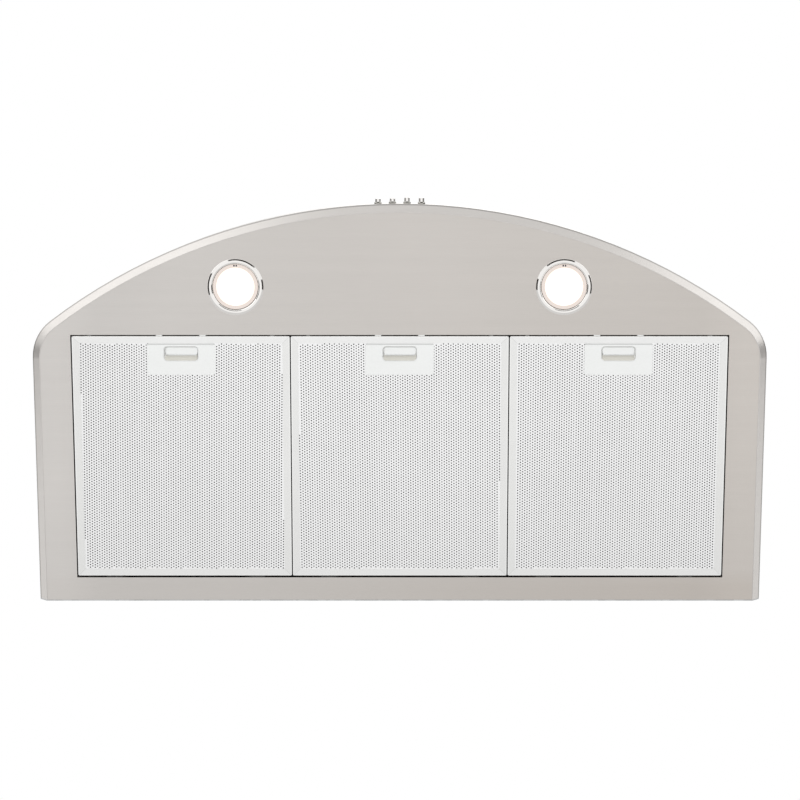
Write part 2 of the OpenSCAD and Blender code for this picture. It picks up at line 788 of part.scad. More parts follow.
module lamp_transformer() color(dark) {
    translate([transformer_x - transformer_w / 2, -back_t - transformer_d, control_z]) difference() {
        cube([transformer_w, transformer_d, transformer_h]);
        // steps over the fixing ears
        for (x = [-past, transformer_w - fix_ear]) translate([x, -past, -past])
            cube([fix_ear + past, transformer_d - fix_ear_t + past, transformer_h + 2 * past]);
        for (x = [fix_ear / 2, transformer_w - fix_ear / 2])
            translate([x, transformer_d + past, transformer_h / 2])
            rotate([90, 0, 0]) cylinder(d = 4.2, h = fix_ear_t + 2 * past, $fn = 32);
    }
}

// Blower

module blower_box() color(zinc) {
    difference() {
        union() {
            translate([-box_w / 2, box_y - box_d / 2, box_z]) cube([box_w, box_d, box_h]);
            // rim that stands on the canopy's
            translate([-box_w / 2 - box_rim, box_y - box_d / 2 - box_rim, box_z])
                cube([box_w + 2 * box_rim, box_d + 2 * box_rim, sheet_t]);
        }
        translate([box_t - box_w / 2, box_y - box_d / 2 + box_t, box_z - past])
            cube([box_w - 2 * box_t, box_d - 2 * box_t, box_h - box_t + past]);
        // way out over the scroll
        translate([scroll_t - scroll_w / 2, mouth_front, box_top - 3])
            cube([scroll_w - 2 * scroll_t, mouth_l, 3 + past]);
        rim_holes(box_z - past, sheet_t + 2 * past);
    }
}

// Radius of the scroll at turn a past the tongue
function scroll_at(a) = tongue_r + scroll_grow * a / wrap;

// The scroll's inside, grown by g: a spiral and the straight way out
module scroll_shape(g) {
    spiral = [
        for (k = [0:scroll_steps])
            let (a = wrap * k / scroll_steps)
            (scroll_at(a) + g) * [cos(tongue_turn - a), sin(tongue_turn - a)]
    ];
    rise = box_top - box_t - fan_z;
    inner = mouth_l + g - tongue_r - scroll_grow;
    polygon(concat(spiral, [[-tongue_r - scroll_grow - g, rise], [inner, rise]]));
}

module scroll_housing() color(zinc) translate([0, fan_y, fan_z]) rotate([90, 0, 90]) {
    // the wrapped wall
    translate([0, 0, -scroll_w / 2]) linear_extrude(scroll_w) difference() {
        scroll_shape(scroll_t);
        scroll_shape(0);
        translate([-tongue_r - scroll_grow, 0]) square([mouth_l, box_h]);
    }
    // the two side plates
    for (x = [-scroll_w / 2, scroll_w / 2 - scroll_t]) translate([0, 0, x])
        linear_extrude(scroll_t) difference() {
            scroll_shape(scroll_t / 2);
            circle(r = inlet_r + neck_t + neck_fit, $fn = 96);
        }
}

// Bell-mouthed inlet, seated in the scroll's side plate
module inlet_ring(side) color(zinc) translate([0, fan_y, fan_z]) rotate([0, 90 * side, 0])
    translate([0, 0, scroll_w / 2]) rotate_extrude($fn = 96) {
        translate([inlet_r, 0]) square([ring_w, neck_t]);
        translate([inlet_r, -neck_l]) square([neck_t, neck_l + lap]);
        // rolled outer edge
        translate([inlet_r + ring_w, neck_t / 2]) circle(r = neck_t / 2, $fn = 24);
    }

// One forward-curved blade in the plane across the axis
module blade() {
    turn = 60;
    steps = 5;
    r = (blade_deep - 0.8) / sin(turn);
    function rib(off) = [
        for (k = [0:steps])
            let (a = turn * k / steps)
            [blade_in + (r + off) * sin(a), r - (r + off) * cos(a)]
    ];
    outer = rib(blade_t / 2);
    inner = rib(-blade_t / 2);
    polygon(concat(outer, [for (k = [steps:-1:0]) inner[k]]));
}

module fan_wheel() color(alu) translate([0, fan_y, fan_z]) rotate([0, 90, 0]) difference() {
    union() {
        // middle plate and hub
        translate([0, 0, -wheel_plate_t / 2]) cylinder(r = wheel_r, h = wheel_plate_t, $fn = 120);
        translate([0, 0, hub_from]) cylinder(r = hub_r, h = hub_to - hub_from, $fn = 48);
        // two rows of blades, half a step apart, with their roots in the plate
        // and their tips in the end rings
        for (row = [0, 1]) mirror([0, 0, row]) rotate([0, 0, row * 180 / blades]) {
            for (k = [0:blades - 1]) rotate([0, 0, k * 360 / blades]) translate([0, 0, wheel_plate_t / 4])
                linear_extrude(wheel_w / 2 - end_ring_t / 2 - wheel_plate_t / 4) blade();
            translate([0, 0, wheel_w / 2 - end_ring_t]) difference() {
                cylinder(r = wheel_r, h = end_ring_t, $fn = 120);
                translate([0, 0, -past])
                    cylinder(r = wheel_r - end_ring_w, h = end_ring_t + 2 * past, $fn = 120);
            }
        }
    }
    translate([0, 0, hub_from - past]) cylinder(d = shaft_d, h = hub_to - hub_from + 2 * past, $fn = 48);
}

module fan_shaft() color(zinc) translate([motor_end + 0.2, fan_y, fan_z]) rotate([0, 90, 0])
    cylinder(r = shaft_d / 2 - 0.03, h = hub_to + 2 - motor_end, $fn = 48);

module motor() color(dark) translate([motor_end, fan_y, fan_z]) rotate([0, -90, 0]) rotate_extrude($fn = 96)
    polygon([
        [0, 0], [boss_r, 0], [boss_r, boss_l], [motor_r - bell_in, boss_l + bell_step],
        [motor_r, bell_l], [motor_r, motor_l - bell_l],
        [motor_r - bell_in, motor_l - boss_l - bell_step], [boss_r, motor_l - boss_l],
        [boss_r, motor_l], [0, motor_l]
    ]);

// Ring round the motor with three arms that stand on the scroll
module motor_bracket() color(zinc) {
    ring_x = -scroll_w / 2 - mount_out;
    arm_r = inlet_r + ring_w + neck_l;
    translate([ring_x, fan_y, fan_z]) rotate([0, 90, 0]) {
        difference() {
            union() {
                cylinder(r = motor_r + mount_rim, h = mount_t, $fn = 96);
                for (a = [30, 150, 270]) rotate([0, 0, a]) {
                    translate([motor_r, -mount_w / 2, 0])
                        cube([arm_r + mount_t - motor_r, mount_w, mount_t]);
                    translate([arm_r, -mount_w / 2, 0]) cube([mount_t, mount_w, mount_out]);
                }
            }
            translate([0, 0, -past]) cylinder(r = motor_r + fit, h = mount_t + 2 * past, $fn = 96);
        }
    }
}

module capacitor() color([0.85, 0.85, 0.82]) {
    corner = box_t + cap_r + seat;
    translate([box_w / 2 - corner, box_rear - corner, box_z + cap_up]) {
        cylinder(r = cap_r, h = cap_l, $fn = 64);
        for (x = [-5, 5]) translate([x - tag_w / 2, -3, -tag_l]) cube([tag_w, 6, tag_l + lap]);
    }
}

module duct_collar() color(dark) translate([0, duct_y, box_top]) {
    difference() {
        rotate_extrude($fn = 120) {
            translate([duct_r - duct_t, 0]) square([duct_t, duct_h]);
            translate([duct_r - duct_t, 0]) square([5.6, 1.2]);
            // ledge that the flaps rest on
            translate([duct_r - duct_t - 3.2, ledge_up]) square([3.2 + lap, duct_t]);
        }
        for (y = [-pin_off, pin_off]) translate([-duct_r - past, y, pin_z - box_top])
            rotate([0, 90, 0]) cylinder(r = pin_r, h = duct_d + 2 * past, $fn = 32);
    }
}

// A half disc on its knuckle: side -1 is the front flap, 1 the rear one
module damper_flap(side) color(dark) translate([0, duct_y, pin_z]) difference() {
    union() {
        translate([0, 0, -knuckle_r]) intersection() {
            cylinder(r = flap_r, h = flap_t, $fn = 120);
            translate([-flap_r, side > 0 ? pin_off : -flap_r - pin_off, 0])
                cube([2 * flap_r, flap_r, flap_t]);
        }
        translate([-knuckle_l / 2, side * pin_off, 0]) rotate([0, 90, 0])
            cylinder(r = knuckle_r, h = knuckle_l, $fn = 32);
    }
    translate([-duct_r, side * pin_off, 0]) rotate([0, 90, 0])
        cylinder(r = pin_r + 0.08, h = duct_d, $fn = 32);
}

module damper_pins() color(zinc) for (y = [-pin_off, pin_off])
    translate([-duct_r + fit, duct_y + y, pin_z]) rotate([0, 90, 0])
        cylinder(r = pin_r, h = duct_d - 2 * fit, $fn = 32);

// Chimney

// A three-sided cover with returns along the wall, set in by i
module cover(i, h, rear) {
    difference() {
        translate([i - chim_w / 2, i - chim_d, canopy_h]) cube([chim_w - 2 * i, chim_d - i - rear, h]);
        translate([i + chim_t - chim_w / 2, i + chim_t - chim_d, canopy_h - past])
            cube([chim_w - 2 * i - 2 * chim_t, chim_d - i - 2 * chim_t - rear, h + 2 * past]);
        translate([i + return_w - chim_w / 2, -chim_t - rear - past, canopy_h - past])
            cube([chim_w - 2 * i - 2 * return_w, chim_t + 2 * past, h + 2 * past]);
    }
}

module lower_chimney() color(steel) cover(0, lower_h, 0);

module upper_chimney() color(steel) difference() {
    slots_z = canopy_h + upper_h - slot_top;
    cover(upper_in, upper_h, upper_in);
    // air slots near the top of both sides
    for (k = [0:slot_count - 1], side = [-1, 1])
        translate([side * (chim_w / 2 - upper_in - chim_t / 2), -chim_d / 2, slots_z - k * slot_pitch])
            rotate([0, 90, 0]) translate([0, 0, -2 * chim_t]) linear_extrude(4 * chim_t) {
                square([slot_w, slot_l - slot_w], center = true);
                for (y = [-1, 1]) translate([0, y * (slot_l - slot_w) / 2]) circle(d = slot_w, $fn = 24);
            }
    for (side = [-1, 1]) translate([side * chim_w / 2, -ear_l / 2 - bracket_step, screw_z])
        rotate([0, 90, 0]) cylinder(d = 3.4, h = 12, $fn = 24, center = true);
}

// Bracket for the wall: its middle lies on the wall, its wings step forward
// to pass in front of the cover's returns and carry the ears
module chimney_bracket() color(zinc) {
    step_x = chim_w / 2 - upper_in - return_w - 4;
    wing_x = chim_w / 2 - upper_in - chim_t - 0.3;
    t = chim_t;
    translate([0, 0, bracket_top - bracket_h]) difference() {
        for (side = [0, 1]) mirror([side, 0, 0]) linear_extrude(bracket_h) {
            translate([-lap, -t]) square([step_x + lap, t]);
            translate([step_x - t, -bracket_step - t]) square([t, bracket_step + t]);
            translate([step_x - t, -bracket_step - t]) square([wing_x - step_x + t, t]);
            translate([wing_x - t, -bracket_step - ear_l]) square([t, ear_l]);
        }
        for (x = [-bracket_spacing / 2, bracket_spacing / 2]) translate([x, past, bracket_h / 2])
            rotate([90, 0, 0]) cylinder(d = bracket_hole_d, h = t + 2 * past, $fn = 48);
        for (side = [-1, 1])
            translate([side * wing_x, -ear_l / 2 - bracket_step, screw_z - bracket_top + bracket_h])
            rotate([0, 90, 0]) cylinder(d = 3, h = 8, $fn = 24, center = true);
    }
}

// A pan-head screw: its shank runs up from its seat at z = 0
module screw(d, long) {
    cylinder(d = d, h = long, $fn = 24);
    translate([0, 0, -0.6 * d]) intersection() {
        cylinder(d = 2 * d, h = 0.6 * d, $fn = 32);
        translate([0, 0, 1.1 * d]) sphere(r = 1.2 * d, $fn = 48);
    }
}

module chimney_screws() color(bright) for (side = [-1, 1])
    translate([side * (chim_w / 2 - upper_in), -ear_l / 2 - bracket_step, screw_z])
        rotate([0, -90 * side, 0]) screw(2.9, 5);

// Screws down through the blower's rim and the canopy's
module blower_screws() color(bright) at_rim_screws() translate([0, 0, box_z + sheet_t])
    rotate([180, 0, 0]) screw(rim_screw_d, 2 * sheet_t + 4);

canopy_top();
canopy_band();
back_plate();
bottom_panel();
filter_frame(0);  // filter_frame_left
filter_frame(1);  // filter_frame_middle
filter_frame(2);  // filter_frame_right
filter_mesh(0);  // filter_mesh_left
filter_mesh(1);  // filter_mesh_middle
filter_mesh(2);  // filter_mesh_right
filter_core(0);  // filter_core_left
filter_core(1);  // filter_core_middle
filter_core(2);  // filter_core_right
latch_plate(0);  // latch_plate_left
latch_plate(1);  // latch_plate_middle
latch_plate(2);  // latch_plate_right
latch_slider(0);  // latch_slider_left
latch_slider(1);  // latch_slider_middle
latch_slider(2);  // latch_slider_right
latch_spring(0);  // latch_spring_left
latch_spring(1);  // latch_spring_middle
latch_spring(2);  // latch_spring_right
lamp_bezel(-1);  // lamp_bezel_left
lamp_bezel(1);  // lamp_bezel_right
lamp_clips(-1);  // lamp_clips_left
lamp_clips(1);  // lamp_clips_right
lamp_bulb(-1);  // lamp_bulb_left
lamp_bulb(1);  // lamp_bulb_right
lamp_can(-1);  // lamp_can_left
lamp_can(1);  // lamp_can_right
button_collars();
button(0);  // button_1
button(1);  // button_2
button(2);  // button_3
button(3);  // button_4
switch_block();
switch_bracket();
control_box();
control_box_lid();
cable_gland();
lamp_transformer();
blower_box();
scroll_housing();
inlet_ring(-1);  // inlet_ring_left
inlet_ring(1);  // inlet_ring_right
fan_wheel();
fan_shaft();
motor();
motor_bracket();
capacitor();
duct_collar();
damper_flap(-1);  // damper_flap_front
damper_flap(1);  // damper_flap_rear
damper_pins();
lower_chimney();
upper_chimney();
chimney_bracket();
blower_screws();
chimney_screws();
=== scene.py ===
"""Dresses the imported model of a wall-mounted pyramid range hood."""
import math

import bmesh
import bpy
from bpy.props import FloatProperty, FloatVectorProperty, PointerProperty
from mathutils import Matrix, Vector


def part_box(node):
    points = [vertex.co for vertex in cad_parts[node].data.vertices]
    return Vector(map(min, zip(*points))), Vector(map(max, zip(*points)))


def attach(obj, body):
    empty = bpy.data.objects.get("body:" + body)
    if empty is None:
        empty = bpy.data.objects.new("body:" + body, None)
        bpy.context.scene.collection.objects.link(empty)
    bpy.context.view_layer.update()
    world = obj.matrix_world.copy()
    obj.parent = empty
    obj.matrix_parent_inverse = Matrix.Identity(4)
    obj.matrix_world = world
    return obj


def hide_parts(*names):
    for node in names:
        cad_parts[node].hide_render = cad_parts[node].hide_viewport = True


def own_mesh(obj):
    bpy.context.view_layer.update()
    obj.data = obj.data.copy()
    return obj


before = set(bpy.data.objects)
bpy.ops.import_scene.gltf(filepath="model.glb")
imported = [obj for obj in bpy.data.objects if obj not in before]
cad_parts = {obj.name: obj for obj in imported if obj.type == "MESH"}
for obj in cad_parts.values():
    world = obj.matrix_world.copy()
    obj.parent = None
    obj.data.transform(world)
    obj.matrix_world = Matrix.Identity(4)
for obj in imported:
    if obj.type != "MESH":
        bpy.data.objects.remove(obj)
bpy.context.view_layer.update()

bl_info = {
    "name": "Range hood dressing",
    "version": (1, 0, 0),
    "blender": (4, 5, 0),
    "location": "3D View > Sidebar > Range hood",
    "description": "Finishes, perforated filters, lamps and small parts of a range hood",
    "category": "Object",
}

SIDES = ("left", "middle", "right")
MM = 0.001


def middle_of(node):
    """The middle of a node's box."""
    low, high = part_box(node)
    return [(low[axis] + high[axis]) / 2 for axis in range(3)]


# Sizes and colours

def length(name, metres, about):
    """A length that a user may change."""
    return FloatProperty(name=name, description=about, default=metres, min=0.0, unit="LENGTH", precision=5)


def colour(name, red, green, blue, about):
    """A colour that a user may change."""
    return FloatVectorProperty(name=name, description=about, default=(red, green, blue), size=3,
                               min=0.0, max=1.0, subtype="COLOR")


def of_each(name, about, values, **more):
    """One number for each of the three filters, from left to right."""
    return FloatVectorProperty(name=name, description=f"{about}, from the left filter to the right one",
                               default=values, size=3, **more)


class HoodFilterSizes(bpy.types.PropertyGroup):
    hole: length("Hole", 0.00175, "Diameter of a hole in the perforated sheets")
    column: length("Column pitch", 0.002962, "Distance between neighbouring columns of holes")
    row: of_each("Row pitch", "Distance between the holes of one column", (0.003343, 0.003397, 0.003372),
                 unit="LENGTH", precision=5)
    lean: of_each("Lean of rows", "Slope of the rows of holes", (0.039, 0.012, 0.030))
    column_lean: of_each("Lean of columns", "Slope of the columns of holes", (-0.0163, 0.0094, 0.0))
    sheet: length("Sheet", 0.0006, "Thickness of the perforated sheets")
    pitch: length("Filter pitch", 0.2672, "Distance between the middles of neighbouring filters")
    tuck: length("Tuck", 0.007, "How far the sheets reach under the border")


class HoodFinishes(bpy.types.PropertyGroup):
    steel: colour("Steel", 0.655, 0.63, 0.605, "Brushed sheet of the canopy and chimney")
    # painted shade: the panel's sheet darker and warmer towards its right end
    steel_right_shade: colour("Steel at the right", 0.615, 0.577, 0.54, "The same sheet at the panel's right end")
    zinc: colour("Zinc", 0.63, 0.635, 0.635, "Galvanised and plated steel")
    aluminium: colour("Aluminium", 0.89, 0.89, 0.882, "Borders of the filters")
    perforated: colour("Perforated sheet", 0.99, 0.99, 0.99, "Sheets with holes")
    # painted shade: the pleated aluminium layer darkened to stand for its shadow behind the holes
    pack: colour("Filter pack", 0.33, 0.33, 0.335, "Pleated layer above the perforated sheets")
    latch: colour("Latch", 0.935, 0.945, 0.935, "Smooth plates and grips of the latches")
    # painted shade: a darker copy of the latch's colour for the pockets' steep walls
    latch_wall_shade: colour("Latch walls", 0.87, 0.87, 0.86, "Steep walls of the finger pockets")
    # painted shade and painted reflection: a darker, warmer copy of the latch's colour for the pockets' rear
    # slopes
    latch_ramp_shade: colour("Latch ramps", 0.73, 0.715, 0.655, "Slopes at the rear of the finger pockets")
    collar: colour("Collars", 0.44, 0.43, 0.40, "Plated collars round the push buttons")
    chrome: colour("Chrome", 0.90, 0.88, 0.855, "Lamp rims and buttons")
    ring: colour("Lamp ring", 0.88, 0.78, 0.72, "Ring that holds a bulb, warm from its light")
    black: colour("Black plastic", 0.045, 0.045, 0.05, "Electrical boxes, duct collar and flaps")
    # also painted shade on the lamp rings' faces inside their gaps
    paint: colour("Motor paint", 0.07, 0.07, 0.078, "Motor housing")
    white: colour("White plastic", 0.74, 0.74, 0.71, "Case of the capacitor")


class HoodLampLight(bpy.types.PropertyGroup):
    warm: colour("Light", 1.0, 0.985, 0.955, "Colour of the lit faces")
    strength: FloatProperty(name="Strength", description="Strength of the lit faces", default=1.15, min=0.0)


class HoodStage(bpy.types.PropertyGroup):
    lens: FloatProperty(
        name="Lens", description="Focal length on a 36 mm sensor", default=75.0, unit="CAMERA")
    tilt: FloatProperty(
        name="Tilt", description="Angle of the view away from straight up", default=math.radians(8.495),
        subtype="ANGLE")
    below: length("Camera below", 2.0206, "Distance of the camera below the underside")
    ahead: length("Camera ahead", 0.5551, "Distance of the camera in front of the wall")
    floor: length("Floor below", 2.6, "Distance of the floor below the underside")
    soft: FloatProperty(
        name="Soft boxes", description="Power of the strongest soft box", default=16.0, unit="POWER")
    card: colour("Cards", 0.04, 0.036, 0.033, "Dark cards that the chrome mirrors")


# Building node trees

def put(tree, kind, inputs=None, **settings):
    """Adds a node; inputs are values or the sockets that feed them."""
    made = tree.nodes.new(kind)
    for key, value in settings.items():
        setattr(made, key, value)
    for key, value in (inputs or {}).items():
        if isinstance(value, bpy.types.NodeSocket):
            tree.links.new(value, made.inputs[key])
        else:
            made.inputs[key].default_value = value
    return made


def new_group(name, kind, inputs, outputs):
    """An empty node group, with the sockets of its input and output nodes.

    The inputs are (name, kind, default) and the outputs (name, kind), with a socket's kind such as Float.
    """
    group = bpy.data.node_groups.new(name, kind)
    for label, socket, default in inputs:
        made = group.interface.new_socket(name=label, in_out="INPUT", socket_type="NodeSocket" + socket)
        if default is not None:
            made.default_value = default
    for label, socket in outputs:
        group.interface.new_socket(name=label, in_out="OUTPUT", socket_type="NodeSocket" + socket)
    return group, group.nodes.new("NodeGroupInput").outputs, group.nodes.new("NodeGroupOutput").inputs


def maths(tree, how, first, second=0.0, clamp=False):
    """The result of one operation on two numbers."""
    return put(tree, "ShaderNodeMath", {0: first, 1: second}, operation=how, use_clamp=clamp).outputs[0]


def vector_maths(tree, how, first, second=(0, 0, 0)):
    """The result of one operation on two vectors."""
    return put(tree, "ShaderNodeVectorMath", {0: first, 1: second}, operation=how).outputs[0]


def far_off(tree, vector):
    """The length of a vector."""
    return put(tree, "ShaderNodeVectorMath", {0: vector}, operation="LENGTH").outputs["Value"]


def span(tree, value, low, high, start=0.3, end=0.7, smoothly=False):
    """From low to high as the value goes from start to end."""
    return put(tree, "ShaderNodeMapRange", {
        "Value": value, "From Min": start, "From Max": end, "To Min": low, "To Max": high,
    }, interpolation_type="SMOOTHSTEP" if smoothly else "LINEAR").outputs[0]


def mixed(tree, share, first, second, how="MIX"):
    """Two colours mixed by the share, each given as three numbers or as a socket."""
    first, second = (c if isinstance(c, bpy.types.NodeSocket) else (*c, 1.0) for c in (first, second))
    return put(tree, "ShaderNodeMix", {0: share, 6: first, 7: second}, data_type="RGBA",
               blend_type=how).outputs[2]


def object_place(tree):
    """The place on the object, in metres, as a vector and as its three numbers."""
    where = put(tree, "ShaderNodeTexCoord").outputs["Object"]
    return where, put(tree, "ShaderNodeSeparateXYZ", {0: where}).outputs


def use_group(tree, group, inputs):
    """Adds a group with its inputs and gives back its outputs."""
    return put(tree, "ShaderNodeGroup", inputs, node_tree=group).outputs


def bare_tree(holder):
    """The emptied node tree of a new material or world."""
    holder.use_nodes = True
    holder.node_tree.nodes.clear()
    return holder.node_tree


# Effects that several finishes share

def once(name):
    """The node group of that name if it has been built."""
    return bpy.data.node_groups.get(name)


def grain_group():
    """Fine parallel scratches: Stretch gives how many cross a metre on each axis."""
    if once("Grain"):
        return once("Grain")
    group, given, put_out = new_group(
        "Grain", "ShaderNodeTree",
        [("Vector", "Vector", None), ("Stretch", "Vector", (40, 1600, 1600))],
        [("Fine", "Float"), ("Broad", "Float")],
    )
    along = vector_maths(group, "MULTIPLY", given["Vector"], given["Stretch"])
    fine = put(group, "ShaderNodeTexNoise", {"Vector": along, "Scale": 1.0, "Detail": 4.0, "Roughness": 0.7})
    broad_at = vector_maths(group, "MULTIPLY", along, (0.07, 0.07, 0.07))
    broad = put(group, "ShaderNodeTexNoise", {"Vector": broad_at, "Scale": 1.0, "Detail": 2.0})
    group.links.new(fine.outputs[0], put_out["Fine"])
    group.links.new(broad.outputs[0], put_out["Broad"])
    return group


def handling_group():
    """Soft wide patches where a surface was wiped, and small specks."""
    if once("Handling"):
        return once("Handling")
    group, given, put_out = new_group(
        "Handling", "ShaderNodeTree",
        [("Vector", "Vector", None), ("Patches per metre", "Float", 5.0)],
        [("Patches", "Float"), ("Specks", "Float")],
    )
    wide = put(group, "ShaderNodeTexNoise", {
        "Vector": given["Vector"], "Scale": given["Patches per metre"], "Detail": 2.0, "Distortion": 0.6,
    })
    dots = put(group, "ShaderNodeTexNoise", {"Vector": given["Vector"], "Scale": 900.0, "Detail": 2.0})
    group.links.new(wide.outputs[0], put_out["Patches"])
    group.links.new(span(group, dots.outputs[0], 0.0, 1.0, 0.66, 0.74), put_out["Specks"])
    return group


def spangle_group():
    """The crystals of a galvanised sheet."""
    if once("Spangle"):
        return once("Spangle")
    group, given, put_out = new_group(
        "Spangle", "ShaderNodeTree",
        [("Vector", "Vector", None), ("Crystals per metre", "Float", 110.0)],
        [("Shade", "Float")],
    )
    bent = put(group, "ShaderNodeTexNoise", {"Vector": given["Vector"], "Scale": 180.0, "Detail": 1.0})
    shifted = vector_maths(group, "MULTIPLY", bent.outputs["Color"], (0.004, 0.004, 0.004))
    where = vector_maths(group, "ADD", given["Vector"], shifted)
    cells = put(group, "ShaderNodeTexVoronoi", {"Vector": where, "Scale": given["Crystals per metre"]})
    shade = put(group, "ShaderNodeSeparateColor", {"Color": cells.outputs["Color"]})
    group.links.new(shade.outputs[0], put_out["Shade"])
    return group


# Finishes

def new_material(name):
    """A material with its shader: the material, its tree, the place on the object and the shader's inputs."""
    made = bpy.data.materials.new(name)
    tree = bare_tree(made)
    where, axes = object_place(tree)
    shader = put(tree, "ShaderNodeBsdfPrincipled")
    put(tree, "ShaderNodeOutputMaterial", {"Surface": shader.outputs[0]})
    return made, tree, where, axes, shader.inputs


def tone(tree, base, mask, low, high):
    """The base colour, from low to high times itself as the mask goes from 0 to 1."""
    return mixed(tree, mask, [min(1.0, c * low) for c in base], [min(1.0, c * high) for c in base])


def tinted(tree, shade, mask, tint):
    """The shade, multiplied by the tint where the mask is 1."""
    return mixed(tree, mask, shade, tint, "MULTIPLY")


def away_from(tree, coordinate, middle):
    """How far a coordinate is from the middle, either way."""
    return maths(tree, "ABSOLUTE", maths(tree, "SUBTRACT", coordinate, middle))


def band_mask(tree, coordinate, middle, width):
    """1 within a soft band of that width about the middle, and 0 elsewhere."""
    return span(tree, away_from(tree, coordinate, middle), 0.0, 1.0, width / 2, width / 4, smoothly=True)


def brushed(name, base, stretch, roughness=0.32, contrast=0.05, relief=0.00002, lines=(), more=None):
    """Brushed or rolled metal with its grain across the axes that stretch is large on.

    Each of the lines is (axis, middle, width, shade): painted shade along a fold, edge or seam. The call
    more(tree, axes, shade), where there is one, gives back the shade with the painted light and other marks
    it adds.
    """
    made, tree, where, axes, shader = new_material(name)
    grain = use_group(tree, grain_group(), {"Vector": where, "Stretch": stretch})
    wiped = use_group(tree, handling_group(), {"Vector": where, "Patches per metre": 5.0})
    streaks = maths(tree, "ADD", maths(tree, "MULTIPLY", grain["Fine"], 0.7),
                    maths(tree, "MULTIPLY", grain["Broad"], 0.3))
    mask = span(tree, maths(tree, "ADD", maths(tree, "MULTIPLY", streaks, 0.75),
                            maths(tree, "MULTIPLY", wiped["Patches"], 0.25)), 0.0, 1.0)
    shade = tone(tree, base, mask, 1 - contrast, 1 + contrast)
    # painted shade along each of the lines
    for axis, middle, width, dark in lines:
        shade = mixed(tree, band_mask(tree, axes[axis], middle, width), shade, [c * dark for c in base])
    if more:
        shade = more(tree, axes, shade)
    tree.links.new(shade, shader["Base Color"])
    tree.links.new(span(tree, mask, roughness + 0.05, roughness - 0.05, 0.0, 1.0), shader["Roughness"])
    shader["Metallic"].default_value = 1.0
    bump = put(tree, "ShaderNodeBump", {"Height": grain["Fine"], "Strength": 0.35, "Distance": relief})
    tree.links.new(bump.outputs[0], shader["Normal"])
    return made


def painted_panel_light(tree, axes, shade):
    """The panel's sheet with painted light: painted shade, darker and warmer, to the right and at the rear,
    and a painted highlight, paler, along both sides.
    """
    c = bpy.context.scene.hood_finishes
    # painted shade: darker and warmer towards the right
    across = span(tree, axes[0], 0.0, 1.0, -0.43, 0.43)
    shade = tinted(tree, shade, across, [right / left for right, left in zip(c.steel_right_shade, c.steel)])
    # painted highlight: paler along both sides
    aside = span(tree, maths(tree, "ABSOLUTE", axes[0]), 0.0, 1.0, 0.37, 0.42)
    painted_side_highlight = 1.066
    shade = tinted(tree, shade, aside, (painted_side_highlight, painted_side_highlight, painted_side_highlight))
    # painted shade: darker at the rear, more so towards the right
    behind = span(tree, axes[1], 0.0, 1.0, -0.04, -0.02)
    rightward = span(tree, axes[0], 0.35, 1.0, -0.15, 0.35)
    painted_rear_shade = (0.955, 0.94, 0.925)
    return tinted(tree, shade, maths(tree, "MULTIPLY", behind, rightward), painted_rear_shade)


def mitres_and_painted_light(tree, axes, shade):
    """The filters' borders: painted shade along the sides, a painted highlight along their outer edges, a
    painted shadow on the hooks and nubs, and a thin dark line at each mitre.
    """
    sizes = bpy.context.scene.hood_filter
    low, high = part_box("filter_mesh_middle")
    wall, edge = 0.0018, 0.0012
    painted_side_shade, painted_edge_highlight, painted_hook_shadow, mitre_tint = (0.965, 0.965, 0.96), (1.1,) * 3, (0.25,) * 3, (0.86,) * 3
    # how far past the border's outer edge a point is, across and along
    local = put(tree, "ShaderNodeMath", {0: axes[0], 1: sizes.pitch / 2, 2: -sizes.pitch / 2},
                operation="WRAP").outputs[0]
    x_past = maths(tree, "SUBTRACT", maths(tree, "ABSOLUTE", local), high[0] + wall)
    y_off = away_from(tree, axes[1], (low[1] + high[1]) / 2)
    y_past = maths(tree, "SUBTRACT", y_off, (high[1] - low[1]) / 2 + wall)
    over = maths(tree, "SUBTRACT", x_past, y_past)
    # painted shade along the sides
    shade = tinted(tree, shade, maths(tree, "GREATER_THAN", over, 0.0), painted_side_shade)
    near_edge = maths(tree, "GREATER_THAN", maths(tree, "MAXIMUM", x_past, y_past), -edge)
    # painted highlight within a little more than a millimetre of the outer edges
    shade = tinted(tree, shade, near_edge, painted_edge_highlight)
    # painted shadow on the hooks and nubs past the border's ends
    shade = tinted(tree, shade, maths(tree, "GREATER_THAN", y_past, 0.0001), painted_hook_shadow)
    return tinted(tree, shade, band_mask(tree, over, 0.0, 0.0012), mitre_tint)


def galvanised(name, base):
    """Sheet steel with the crystals of its zinc."""
    made, tree, where, _, shader = new_material(name)
    shade = use_group(tree, spangle_group(), {"Vector": where})["Shade"]
    tree.links.new(tone(tree, base, shade, 0.86, 1.08), shader["Base Color"])
    tree.links.new(span(tree, shade, 0.46, 0.3, 0.0, 1.0), shader["Roughness"])
    shader["Metallic"].default_value = 1.0
    return made


def moulded(name, base, roughness=0.55, texture=700.0, relief=0.00006, metallic=0.0):
    """Moulded plastic or a painted casting with a fine texture."""
    made, tree, where, _, shader = new_material(name)
    wiped = use_group(tree, handling_group(), {"Vector": where, "Patches per metre": 14.0})
    tree.links.new(tone(tree, base, wiped["Patches"], 0.8, 1.25), shader["Base Color"])
    tree.links.new(span(tree, wiped["Patches"], roughness - 0.07, roughness + 0.07), shader["Roughness"])
    skin = put(tree, "ShaderNodeTexNoise", {"Vector": where, "Scale": texture, "Detail": 3.0})
    bump = put(tree, "ShaderNodeBump", {"Height": skin.outputs[0], "Strength": 0.5, "Distance": relief})
    tree.links.new(bump.outputs[0], shader["Normal"])
    shader["Metallic"].default_value = metallic
    return made


def polished(name, base, roughness=0.07):
    """Plated chrome with a few faint wiping marks."""
    made, tree, where, _, shader = new_material(name)
    wiped = use_group(tree, handling_group(), {"Vector": where, "Patches per metre": 60.0})
    tree.links.new(tone(tree, base, wiped["Patches"], 0.95, 1.04), shader["Base Color"])
    tree.links.new(span(tree, wiped["Patches"], roughness * 0.7, roughness * 1.6), shader["Roughness"])
    shader["Metallic"].default_value = 1.0
    return made


